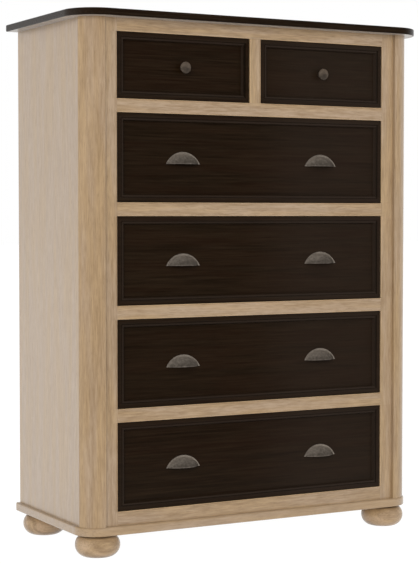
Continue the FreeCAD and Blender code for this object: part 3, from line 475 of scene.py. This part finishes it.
def openings_across(top):
    """Level extents of the openings over or under a rail."""
    outer = corners("stile_right")[0][0]
    divider = corners("drawer_divider")[1][0]
    return [(-outer, -divider), (divider, outer)] if top else [(-outer, outer)]


def merged_stations(first, second):
    """Both edges' radii on the union of their stations, each carried straight between its own."""
    stations = np.union1d(first[0], second[0])
    return stations, [np.interp(stations, *edge) for edge in (first, second)]


def between_stiles(rail):
    """Corners of what shows of a rail, without its tenons."""
    low, high = corners(rail)
    high[0] = corners("stile_right")[0][0]
    low[0] = -high[0]
    return low, high


def build_face_frame():
    """Stiles, divider and rails: square bars that are eased only along the drawer openings."""
    rails = [between_stiles(rail) for rail in RAILS]
    tiers = [(under[1][2], over[0][2]) for over, under in zip(rails, rails[1:])][::-1]
    for side in ("left", "right"):
        node = f"stile_{side}"
        low, high = corners(node)
        stations, ease = eased_between(low[2], high[2], tiers)
        none = np.zeros_like(ease)
        edges = (none, ease) if side == "left" else (ease, none)
        # painted sheen on the right stile, paler towards the post
        sheen = STILE_SHEEN if side == "right" else 0.0
        make_piece(f"oak_{node}", [eased_bar(low, high, 2, *edges, stations, sheen)], "case", "oak_upright",
                   [node])
    low, high = corners("drawer_divider")
    low[2], high[2] = tiers[-1]
    stations, ease = eased_between(low[2], high[2], [(low[2], high[2])])
    make_piece("oak_drawer_divider", [eased_bar(low, high, 2, ease, ease, stations)], "case", "oak_upright",
               ["drawer_divider"])
    for node, (low, high) in zip(RAILS, rails):
        under = [] if node == "bottom_rail" else openings_across(node == "top_rail")
        over = [] if node == "top_rail" else openings_across(node == "drawer_rail_1")
        stations, (lower, upper) = merged_stations(eased_between(low[0], high[0], under),
                                                   eased_between(low[0], high[0], over))
        make_piece(f"oak_{node}", [eased_bar(low, high, 0, lower, upper, stations)], "case", "oak_level",
                   [node])


def prism(outline, low, high, edge=None):
    """Closed outline in plan carried straight up from one height to another."""
    heights = np.array([low, high])
    points = np.empty((2, len(outline), 3))
    points[..., :2] = outline
    points[..., 2] = heights[:, None]
    return surface(points, edge=edge)


def build_posts():
    """Corner posts: in plan a circular arc about a centre behind the inner front corner, cut short of
    the full quarter at the post's back, with a small rounded arris where it meets the frame. The left
    arris gets a painted highlight, the right one painted shade."""
    radius, ease = sizes().post_radius, sizes().post_ease
    shaded = np.full(sizes().round_steps + 1, POST_SHADE)
    # painted highlight on the left arris, painted shade on the right one
    for side, sign, arris_wear in (("left", -1, edge_weight()), ("right", 1, shaded)):
        node = f"front_post_{side}"
        low, high = corners(node)
        inner, outer = sorted((abs(low[0]), abs(high[0])))
        front, behind = low[1], high[1]
        turn = np.linspace(math.asin(ease / radius), math.acos(1 - (behind - front) / radius), 32)
        rounding = np.stack([inner + radius * np.sin(turn), front + radius * (1 - np.cos(turn))], -1)
        rounding[-1] = outer, behind
        arris = quarter_turn(math.pi) * ease + (inner + ease, rounding[0, 1] + ease)
        outline = np.concatenate([arris[:-1], rounding, [[inner, behind]]])
        wear = np.concatenate([arris_wear[:-1], np.zeros(len(rounding)), arris_wear[:1]])
        outline[:, 0] *= sign
        make_piece(f"oak_{node}", [prism(outline, low[2], high[2], edge=wear)], "case", "oak_post",
                   [node])


def build_side_panels():
    """Side panels: a board with its outer back edge rounded and a rabbet for the back panel."""
    ease = sizes().panel_ease
    back_low, back_high = corners("back_panel")
    for side, sign in (("left", -1), ("right", 1)):
        node = f"side_panel_{side}"
        low, high = corners(node)
        inner, outer = sorted((abs(low[0]), abs(high[0])))
        front, behind = low[1], high[1]
        rounded = quarter_turn(0) * ease + (outer - ease, behind - ease)
        outline = np.concatenate([
            [[inner, front], [outer, front]], rounded,
            [[back_high[0], behind], [back_high[0], back_low[1]], [inner, back_low[1]]]])
        wear = np.concatenate([np.zeros(2), edge_weight(), np.zeros(3)])
        outline[:, 0] *= sign
        make_piece(f"oak_{node}", [prism(outline, low[2], high[2], edge=wear)], "case", "oak_panel",
                   [node])


def rounded_plan(low, high, corner, inset, ease_back):
    """Plan outline at an inset: a rectangle whose two front corners are quarter circles about fixed
    centres, so that every inset outline runs parallel to the outer one."""
    angles = np.linspace(0, QUARTER, 21)
    left = np.stack([low[0] + corner - (corner - inset) * np.cos(angles),
                     low[1] + corner - (corner - inset) * np.sin(angles)], -1)
    right = np.stack([low[0] + high[0] - left[::-1, 0], left[::-1, 1]], -1)
    behind = high[1] - (inset if ease_back else 0.0)
    ends = np.array([[high[0] - inset, behind], [low[0] + inset, behind]])
    return np.concatenate([left, right, ends])


def slab(low, high, corner, ease, lower_ease, ease_back):
    """Board with a rounded edge: at each point of the edge profile, which is a half-moon of two
    quarter circles, the plan outline shrinks by that point's inset."""
    turn = np.linspace(0, QUARTER, sizes().round_steps + 1)
    inset = np.concatenate([lower_ease * (1 - np.sin(turn)), ease * (1 - np.cos(turn))])
    height = np.concatenate([low[2] + lower_ease * (1 - np.cos(turn)), high[2] - ease * (1 - np.sin(turn))])
    plan = np.stack([rounded_plan(low, high, corner, part, ease_back) for part in inset])
    points = np.concatenate([plan, np.broadcast_to(height[:, None, None], (*plan.shape[:2], 1))], -1)
    return surface(points)


def build_top_and_base():
    """Top board and base board, the base with its back edge left square."""
    chest = sizes()
    low, high = corners("top_board")
    top = slab(low, high, chest.top_corner, chest.top_ease, chest.top_ease, True)
    make_piece("dark_top_board", [top], "case", "stain_top", ["top_board"])
    low, high = corners("base_board")
    base = slab(low, high, chest.base_corner, chest.base_ease, chest.base_lower_ease, False)
    make_piece("oak_base_board", [base], "case", "oak_base", ["base_board"])


def turned(profile, centre, steps, axis=2, edge=None):
    """Profile of radius and height carried round an axis through a full turn."""
    angles = np.linspace(0, 2 * math.pi, steps, endpoint=False)
    radius, height = profile[:, 0:1], profile[:, 1:2]
    points = np.empty((len(profile), steps, 3))
    first, second = (0, 1) if axis == 2 else (0, 2)
    points[..., first] = centre[first] + radius * np.cos(angles)
    points[..., second] = centre[second] + radius * np.sin(angles)
    points[..., axis] = centre[axis] + height
    return surface(points, edge=edge)


def arc_between(start, finish, belly, steps):
    """Circular arc from the belly's level circle to a rim, with its centre at the belly's height."""
    rim, rise = finish[0], finish[1] - start[1]
    centre = (belly ** 2 - rim ** 2 - rise ** 2) / (2 * (belly - rim))
    radius = belly - centre
    angles = np.linspace(0, math.atan2(rise, rim - centre), steps)
    return np.stack([centre + radius * np.cos(angles), start[1] + radius * np.sin(angles)], -1)


def build_feet():
    """Bun feet: two circular arcs that meet at the belly, turned about the foot's axis, under a
    short neck that leaves a dark line below the base board, made darker by painted shadow on the
    shoulder's top and the neck."""
    chest = sizes()
    for node in FEET:
        low, high = corners(node)
        centre = np.array([*(low + high)[:2] / 2, 0.0])
        belly, height = (high[0] - low[0]) / 2, high[2]
        waist = (belly, chest.foot_belly)
        lower = arc_between(waist, (chest.foot_sole, 0.0), belly, 20)[::-1]
        shoulder = height - chest.neck_height
        upper = arc_between(waist, (chest.foot_crown, shoulder), belly, 20)
        neck = [[chest.foot_neck, shoulder], [chest.foot_neck, height]]
        profile = np.concatenate([lower, upper[1:], neck])
        # painted shadow under the base board
        calm = len(profile) - len(neck) - len(FOOT_CREASE)
        crease = np.concatenate([np.zeros(calm), FOOT_CREASE, np.full(len(neck), NECK_CREASE)])
        make_piece(f"oak_{node}", [turned(profile, centre, 96, edge=crease[:, None])], "case", "oak_turned",
                   [node])


def front_profile():
    """Section of a drawer front from its back edge to its field, as inset and depth: a rounded
    edge, the flat border, the fine groove, the rounded bead and the sloped wall. The edge weights,
    rubbing and painted light and shade, have two columns for each side, bottom, right, top and left;
    at the right the groove and bead get painted shade and the wall a painted highlight, elsewhere the
    groove and bead get a painted highlight."""
    chest = sizes()
    turn = np.linspace(0, QUARTER, chest.round_steps + 1)
    rising = np.stack([1 - np.cos(turn), 1 - np.sin(turn)], -1)
    falling = np.stack([np.sin(turn), 1 - np.cos(turn)], -1)
    rim, bead = chest.front_border, chest.front_border + chest.quirk_width
    brow = bead + chest.bead_width
    slope = chest.slope_width / chest.field_depth
    outer = rising * chest.bead_round + (bead, 0.0)
    inner = falling * chest.bead_round + (brow - chest.bead_round + slope * chest.bead_round * 0.5, 0.0)
    field = brow + chest.slope_width
    foot = np.array([[field - FRONT_ARRIS, chest.field_depth - 2 * FRONT_ARRIS], [field, chest.field_depth]])
    groove = np.array([[rim - FRONT_ARRIS, 0.0], [rim, FRONT_ARRIS], [rim, chest.quirk_depth],
                       [bead, chest.quirk_depth]])
    profile = np.concatenate([[[0.0, -1.0]], rising * chest.front_ease, groove, outer, inner, foot])
    # lit sides get painted highlights, the right side painted shade and a painted highlight on the wall
    lit, shaded = [np.concatenate([[0.0], edge_weight(), quirk, np.linspace(quirk[-1], crest, len(outer)),
                                   np.linspace(crest, wall, len(inner)), [wall, 0.0]])
                   for quirk, crest, wall in (FRONT_LIT, FRONT_SHADED)]
    return profile, np.stack([lit, shaded, lit, lit], 1).repeat(2, axis=1)


def lapped_back(low, high, side_low, side_high):
    """Back of a drawer front behind the laps: its full width over the sides, less beside them."""
    left, right = side_high[0], low[0] + high[0] - side_high[0]
    bottom, lap, top = low[2], side_high[2], high[2]
    outline = np.array([[left, bottom], [right, bottom], [right, lap], [high[0], lap], [high[0], top],
                        [low[0], top], [low[0], lap], [left, lap]])
    points = np.empty((2, len(outline), 3))
    points[..., 0], points[..., 2] = outline[:, 0], outline[:, 1]
    points[..., 1] = np.array([side_low[1], high[1]])[:, None]
    return surface(points)


def drawer_front(node, body):
    """Mitred front: at each point of the profile, a rectangle inset by that much at that depth, with
    its corners cut by a hair so that each side has points of its own."""
    low, high = corners(node)
    side_low, side_high = corners(f"{body}_side_left")
    profile, wear = front_profile()
    inset = profile[:, 0]
    depth = np.where(profile[:, 1] < 0, side_low[1] - low[1], profile[:, 1])
    left, right = low[0] + inset, high[0] - inset
    bottom, top = low[2] + inset, high[2] - inset
    cut = MITRE_CUT
    ring = [(left + cut, bottom), (right - cut, bottom), (right, bottom + cut), (right, top - cut),
            (right - cut, top), (left + cut, top), (left, top - cut), (left, bottom + cut)]
    points = np.stack([np.stack([x, low[1] + depth, z], -1) for x, z in ring], 1)
    skins = [surface(points, edge=wear), lapped_back(low, high, side_low, side_high)]
    make_piece(f"dark_{node}", skins, body, "stain_level", [node])


def build_fronts():
    """The six drawer fronts."""
    for body in SMALL_DRAWERS + LARGE_DRAWERS:
        drawer_front(f"{body}_front", body)


def build_drawer_boxes():
    """The drawer boxes keep their CAD shape and get plain wood."""
    for body in SMALL_DRAWERS + LARGE_DRAWERS:
        dress(f"{body}_side_left", "drawer_long")
        dress(f"{body}_side_right", "drawer_long")
        dress(f"{body}_back", "drawer_level")
        dress(f"{body}_bottom", "plywood_level")


def bow(half, crown, angle):
    """Circular bow over a chord: points by the share of the way round, as level and raised parts."""
    radius = (half ** 2 + crown ** 2) / (2 * crown)
    reach = math.atan2(half, radius - crown)
    turn = reach * (2 * angle / math.pi - 1)
    return radius * np.sin(turn), radius * np.cos(turn) - (radius - crown)


def bowl(half, reach, axis_depth, level, steps):
    """Half of a cup: the lip's bow turned upwards about a level axis behind the drawer's face, from
    the face to the lip. Rows run from the foot to the lip, columns along the lip."""
    x, out = bow(half, reach, level)
    radius = axis_depth + out
    full = np.arccos(np.clip(axis_depth / radius, -1, 1))
    angle = full[None, :] * np.linspace(1, 0, steps)[:, None]
    return np.stack([np.broadcast_to(x, angle.shape), radius * np.cos(angle) - axis_depth,
                     radius * np.sin(angle)], -1)


def cup(centre_x, face, lip, half_flange, rise_flange, reach):
    """Cup pull: rows go from the flange's outer edge over the bowl to the lip and back inside the
    bowl, columns from the left end of the mouth to the right. The edge weights make the rim paler and
    the bowl go from pale where it leaves the face to dark at its lip, with painted light and shade
    that change from the left end to the right."""
    chest = sizes()
    wall, plate = chest.cup_wall, chest.flange_thickness
    level = np.linspace(0, math.pi, 73)
    axis_depth = (chest.cup_rise ** 2 - reach ** 2) / (2 * reach)
    outer = bowl(chest.cup_half_width, reach, axis_depth, level, 26)
    inner = bowl(chest.cup_half_width - wall, reach - wall, axis_depth, level, 20)[::-1]
    turn = np.linspace(0, QUARTER, chest.round_steps + 1)
    ease = plate * 0.6
    rim = []
    for inset, depth in [(0.0, 0.0), *zip(ease * (1 - np.cos(turn)), plate - ease * (1 - np.sin(turn)))]:
        x, z = bow(half_flange - inset, rise_flange - inset, level)
        rim.append(np.stack([x, np.full_like(x, depth), z], -1))
    rim = np.stack(rim)
    seat = outer[0].copy()
    seat[:, 1] = plate
    outer[0, :, 1] = np.maximum(outer[0, :, 1], plate)
    lip_turn = np.linspace(0, math.pi, 7)[1:-1]
    middle = (outer[-1] + inner[0]) / 2
    half_wall = (outer[-1] - inner[0]) / 2
    lip_rows = middle + half_wall * np.cos(lip_turn)[:, None, None]
    lip_rows[..., 2] = 0.0
    rows = np.concatenate([rim, seat[None], outer, lip_rows, inner])
    rows[..., 2] = np.maximum(rows[..., 2], 0.0)
    points = np.stack([centre_x + rows[..., 0], face - rows[..., 1], lip + rows[..., 2]], -1)
    wear = np.concatenate([np.full(len(rim), 0.42), [0.3], np.linspace(0.62, -0.28, len(outer) - 3),
                           [-0.2, 0.0, 0.1], np.full(len(lip_rows), 0.1), np.zeros(len(inner))])
    # painted light and shade that change from the left end to the right
    lean = np.concatenate([np.full(len(rim), 0.22), [0.1], np.linspace(0.05, -0.25, len(outer)),
                           np.zeros(len(lip_rows) + len(inner))])
    edge = wear[:, None] + lean[:, None] * np.linspace(-1, 1, len(level))
    return surface(points, closed=False, capped=False, edge=edge)


def build_cup_pulls():
    """Two cup pulls on each large drawer, one at each end of their CAD node's box."""
    for body in LARGE_DRAWERS:
        node = f"{body}_pulls"
        low, high = corners(node)
        half = sizes().cup_half_width + FLANGE_MARGIN
        face = high[1]
        cups = [cup(x, face, low[2], half, high[2] - low[2], face - low[1])
                for x in (low[0] + half, high[0] - half)]
        make_piece(f"pewter_{node}", cups, body, "cast_pewter", [node])


def build_knobs():
    """Knobs: a foot, a coved waist, a flare, an eased rim and a face that is the cap of a sphere,
    turned about a level axis. The rim and face are paler, and painted light makes them paler
    above and darker below."""
    chest = sizes()
    for body in SMALL_DRAWERS:
        node = f"{body}_knob"
        low, high = corners(node)
        centre = (low + high) / 2
        centre[1] = high[1]
        radius, reach = (high[0] - low[0]) / 2, high[1] - low[1]
        foot = np.array([[chest.knob_foot, 0.0], [chest.knob_foot, KNOB_PLATE]])
        cove = quarter_turn(math.pi) * (chest.knob_foot - chest.knob_stem)
        cove = cove[::-1] + (chest.knob_foot, KNOB_PLATE + chest.knob_foot - chest.knob_stem)
        rim_top = reach - chest.knob_dome
        under = rim_top - chest.knob_rim
        spread = np.linspace(0, 1, 9)
        flare = np.stack([chest.knob_stem + (radius - chest.knob_stem) * spread,
                          under - 0.004 * (1 - spread ** 2)], -1)
        ball = (radius ** 2 + chest.knob_dome ** 2) / (2 * chest.knob_dome)
        turn = np.linspace(math.asin(radius / ball), 0.02, 14)
        cap = np.stack([ball * np.sin(turn), reach - ball * (1 - np.cos(turn))], -1)
        profile = np.concatenate([foot, cove[1:], flare, [[radius, rim_top - 0.0005]], cap[1:]])
        wear = np.concatenate([np.zeros(len(profile) - len(cap)), [0.5], np.linspace(0.5, 0.1, len(cap) - 1)])
        # painted light: paler on the upper side, darker on the lower
        upward = np.sin(np.linspace(0, 2 * math.pi, 64, endpoint=False))
        edge = wear[:, None] * (1 + KNOB_LIGHT * upward)
        profile[:, 1] *= -1
        make_piece(f"pewter_{node}", [turned(profile, centre, len(upward), axis=1, edge=edge)], body,
                   "knob_pewter", [node])


def dome(centre, radius, height, facing):
    """Low round head: a quarter ellipse turned about the level axis, standing off a face."""
    turn = np.linspace(0, QUARTER * 0.98, 6)
    profile = np.stack([radius * np.cos(turn), facing * height * np.sin(turn)], -1)
    return turned(np.concatenate([[[radius, 0.0]], profile + (0.0, facing * 0.0003)]), centre, 16, axis=1)


def build_screws():
    """Screw heads of the pulls and knobs on the inner faces of the drawer fronts."""
    chest = sizes()
    for body in SMALL_DRAWERS + LARGE_DRAWERS:
        inner = corners(f"{body}_front")[1][1]
        if body in SMALL_DRAWERS:
            low, high = corners(f"{body}_knob")
            spots = [((low[0] + high[0]) / 2, (low[2] + high[2]) / 2)]
        else:
            low, high = corners(f"{body}_pulls")
            half = chest.cup_half_width + FLANGE_MARGIN
            spots = [(x + offset, low[2] + SCREW_RISE) for x in (low[0] + half, high[0] - half)
                     for offset in (-SCREW_SPREAD, SCREW_SPREAD)]
        heads = [dome(np.array([x, inner, z]), chest.screw_radius, SCREW_HEIGHT, 1) for x, z in spots]
        make_piece(f"steel_{body}_screws", heads, body, "zinc_steel")


def build_back():
    """Back panel and the inner woodwork, with nail heads round the edge of the panel."""
    dress("back_panel", "plywood_upright")
    dress("back_battens", "drawer_level")
    dress("drawer_runners", "drawer_long")
    dress("centre_runner", "drawer_long")
    dress("foot_bolts", "zinc_steel")
    low, high = corners("back_panel")
    across = np.linspace(low[0] + NAIL_MARGIN, high[0] - NAIL_MARGIN, 8)
    upward = np.linspace(low[2] + NAIL_MARGIN, high[2] - NAIL_MARGIN, 11)
    spots = [(x, z) for x in (across[0], across[-1]) for z in upward]
    spots += [(x, z) for z in (upward[0], upward[-1]) for x in across[1:-1]]
    heads = [dome(np.array([x, high[1] - NAIL_SUNK, z]), sizes().nail_radius, NAIL_HEIGHT, 1)
             for x, z in spots]
    make_piece("steel_back_nails", heads, "case", "zinc_steel")


CAMERA_PLACE = (-2.2385, -4.0324, 0.9010)
CAMERA_YAW = math.radians(28.727)
CAMERA_PITCH = math.radians(-2.396)
CAMERA_LENS = 103.4
LAMPS = (("key_lamp", (-7.0, -7.8, 3.4), 3.8, 325.0), ("fill_lamp", (3.6, -4.6, 2.2), 3.0, 38.0))
LAMP_TARGET = (0.0, 0.0, 0.7)
FLOOR_EXTENT = 40.0
FLOOR_WHITE = 1.1
FLOOR_DIM = 0.1
LIGHT_FRONT = 1.1
LIGHT_BACK = 0.18
LIGHT_ABOVE = 0.7
MIRROR_NEAR = 0.1
MIRROR_FAR = 0.95
MIRROR_ABOVE = 0.12


def glow(start, kind, strength):
    """White light of one strength."""
    return start.node(kind, {"Color": (1.0, 1.0, 1.0, 1.0), "Strength": strength})


def build_stage():
    """Pale floor, white surroundings that are dimmer overhead and, in reflections, on the camera's
    side, two soft lamps and the camera at the photograph's angle."""
    ends = (-FLOOR_EXTENT, FLOOR_EXTENT)
    mesh = bpy.data.meshes.new("floor")
    mesh.from_pydata([(x, y, 0.0) for y in ends for x in ends], [], grid_faces(2, 2, False))
    material, start = blank_material("pale_floor")
    path = {name: start.node("ShaderNodeLightPath", output=name) for name in
            ("Is Camera Ray", "Is Glossy Ray", "Is Transmission Ray")}
    seen = path["Is Camera Ray"] * 0.9 + path["Is Glossy Ray"] + path["Is Transmission Ray"] * 0.5
    spot = start.node("ShaderNodeTexCoord", output="Object")
    near = 1.0 - start.node("ShaderNodeSeparateXYZ", {0: spot}, output="Y").between(-2.5, 0.6)
    matt = start.node("ShaderNodeBsdfDiffuse", {"Color": rgba(colours().floor)})
    white = glow(start, "ShaderNodeEmission", FLOOR_WHITE)
    dim = glow(start, "ShaderNodeEmission", FLOOR_DIM)
    lit = start.node("ShaderNodeMixShader", {0: path["Is Glossy Ray"] * near, 1: white, 2: dim})
    shader = start.node("ShaderNodeMixShader", {0: seen, 1: matt, 2: lit})
    start.node("ShaderNodeOutputMaterial", {"Surface": shader})
    mesh.materials.append(material)
    floor = bpy.data.objects.new("floor", mesh)
    bpy.context.scene.collection.objects.link(floor)
    world = bpy.data.worlds.new("white_room")
    world.use_nodes = True
    world.node_tree.nodes.clear()
    start = Wire(world.node_tree)
    camera_ray = start.node("ShaderNodeLightPath", output="Is Camera Ray")
    glossy_ray = start.node("ShaderNodeLightPath", output="Is Glossy Ray")
    direction = start.node("ShaderNodeTexCoord", output="Generated")
    depth = start.node("ShaderNodeSeparateXYZ", {0: direction}, output="Y")
    height = start.node("ShaderNodeSeparateXYZ", {0: direction}, output="Z").between(0.05, 0.6)

    def room(share, first, second):
        """Mix of two lights, each a strength or a mix."""
        first, second = (part if isinstance(part, Wire) else glow(start, "ShaderNodeBackground", part)
                         for part in (first, second))
        return start.node("ShaderNodeMixShader", {0: share, 1: first, 2: second})

    lighting = room(height, room(depth.between(-0.5, 0.5), LIGHT_FRONT, LIGHT_BACK), LIGHT_ABOVE)
    mirrored = room(height, room(depth.between(-0.8, 0.15), MIRROR_NEAR, MIRROR_FAR), MIRROR_ABOVE)
    shader = room(camera_ray, room(glossy_ray, lighting, mirrored), 1.0)
    start.node("ShaderNodeOutputWorld", {"Surface": shader})
    scene = bpy.context.scene
    scene.world = world
    for name, place, width, power in LAMPS:
        lamp = bpy.data.lights.new(name, "AREA")
        lamp.size = width
        lamp.energy = power
        holder = bpy.data.objects.new(name, lamp)
        holder.visible_glossy = False
        scene.collection.objects.link(holder)
        aim = np.array(LAMP_TARGET) - np.array(place)
        flat = math.hypot(aim[0], aim[1])
        holder.location = place
        holder.rotation_euler = (QUARTER + math.atan2(aim[2], flat), 0.0, math.atan2(-aim[0], aim[1]))
    view = bpy.data.cameras.new("photo_camera")
    view.lens = CAMERA_LENS
    view.clip_end = 200.0
    camera = bpy.data.objects.new("photo_camera", view)
    camera.location = CAMERA_PLACE
    camera.rotation_euler = (QUARTER + CAMERA_PITCH, 0.0, -CAMERA_YAW)
    scene.collection.objects.link(camera)
    scene.camera = camera
    scene.view_settings.view_transform = "Standard"


class BuildStep:
    """Operator that runs one builder."""

    def execute(self, context):
        self.build()
        return {"FINISHED"}


class FaceFrameOperator(BuildStep, bpy.types.Operator):
    """Build the stiles, rails and divider with eased openings"""

    bl_idname = "chest.face_frame"
    bl_label = "Face frame"
    build = staticmethod(build_face_frame)


class PostsOperator(BuildStep, bpy.types.Operator):
    """Build the rounded corner posts"""

    bl_idname = "chest.posts"
    bl_label = "Corner posts"
    build = staticmethod(build_posts)


class SidePanelsOperator(BuildStep, bpy.types.Operator):
    """Build the side panels"""

    bl_idname = "chest.side_panels"
    bl_label = "Side panels"
    build = staticmethod(build_side_panels)


class TopAndBaseOperator(BuildStep, bpy.types.Operator):
    """Build the top board and the base board"""

    bl_idname = "chest.top_and_base"
    bl_label = "Top and base"
    build = staticmethod(build_top_and_base)


class FeetOperator(BuildStep, bpy.types.Operator):
    """Build the bun feet"""

    bl_idname = "chest.feet"
    bl_label = "Bun feet"
    build = staticmethod(build_feet)


class FrontsOperator(BuildStep, bpy.types.Operator):
    """Build the drawer fronts with their groove, bead and sunk field"""

    bl_idname = "chest.fronts"
    bl_label = "Drawer fronts"
    build = staticmethod(build_fronts)


class DrawerBoxesOperator(BuildStep, bpy.types.Operator):
    """Finish the drawer boxes"""

    bl_idname = "chest.drawer_boxes"
    bl_label = "Drawer boxes"
    build = staticmethod(build_drawer_boxes)


class CupPullsOperator(BuildStep, bpy.types.Operator):
    """Build the cup pulls"""

    bl_idname = "chest.cup_pulls"
    bl_label = "Cup pulls"
    build = staticmethod(build_cup_pulls)


class KnobsOperator(BuildStep, bpy.types.Operator):
    """Build the knobs"""

    bl_idname = "chest.knobs"
    bl_label = "Knobs"
    build = staticmethod(build_knobs)


class ScrewsOperator(BuildStep, bpy.types.Operator):
    """Build the screw heads inside the drawers"""

    bl_idname = "chest.screws"
    bl_label = "Screw heads"
    build = staticmethod(build_screws)


class BackOperator(BuildStep, bpy.types.Operator):
    """Finish the back panel and the woodwork inside the case"""

    bl_idname = "chest.back"
    bl_label = "Back and inside"
    build = staticmethod(build_back)


class StageOperator(BuildStep, bpy.types.Operator):
    """Set the floor, surroundings, lamps and camera"""

    bl_idname = "chest.stage"
    bl_label = "Stage"
    build = staticmethod(build_stage)


OPERATORS = (FaceFrameOperator, PostsOperator, SidePanelsOperator, TopAndBaseOperator, FeetOperator,
             FrontsOperator, DrawerBoxesOperator, CupPullsOperator, KnobsOperator, ScrewsOperator,
             BackOperator, StageOperator)


class ChestPanel(bpy.types.Panel):
    """Lists the sizes, colours and steps of the chest"""

    bl_idname = "VIEW3D_PT_chest"
    bl_label = "Chest of drawers"
    bl_space_type = "VIEW_3D"
    bl_region_type = "UI"
    bl_category = "Chest"

    def draw(self, context):
        for group in (context.scene.chest_sizes, context.scene.chest_colours):
            column = self.layout.column(align=True)
            for name in group.__annotations__:
                column.prop(group, name)
        for operator in OPERATORS:
            self.layout.operator(operator.bl_idname)


CLASSES = (ChestSizes, ChestColours, *OPERATORS, ChestPanel)


def register():
    for item in CLASSES:
        bpy.utils.register_class(item)
    bpy.types.Scene.chest_sizes = PointerProperty(type=ChestSizes)
    bpy.types.Scene.chest_colours = PointerProperty(type=ChestColours)


def unregister():
    del bpy.types.Scene.chest_colours
    del bpy.types.Scene.chest_sizes
    for item in reversed(CLASSES):
        bpy.utils.unregister_class(item)


def main():
    register()
    for operator in OPERATORS:
        family, name = operator.bl_idname.split(".")
        getattr(getattr(bpy.ops, family), name)()


if __name__ == "__main__":
    main()
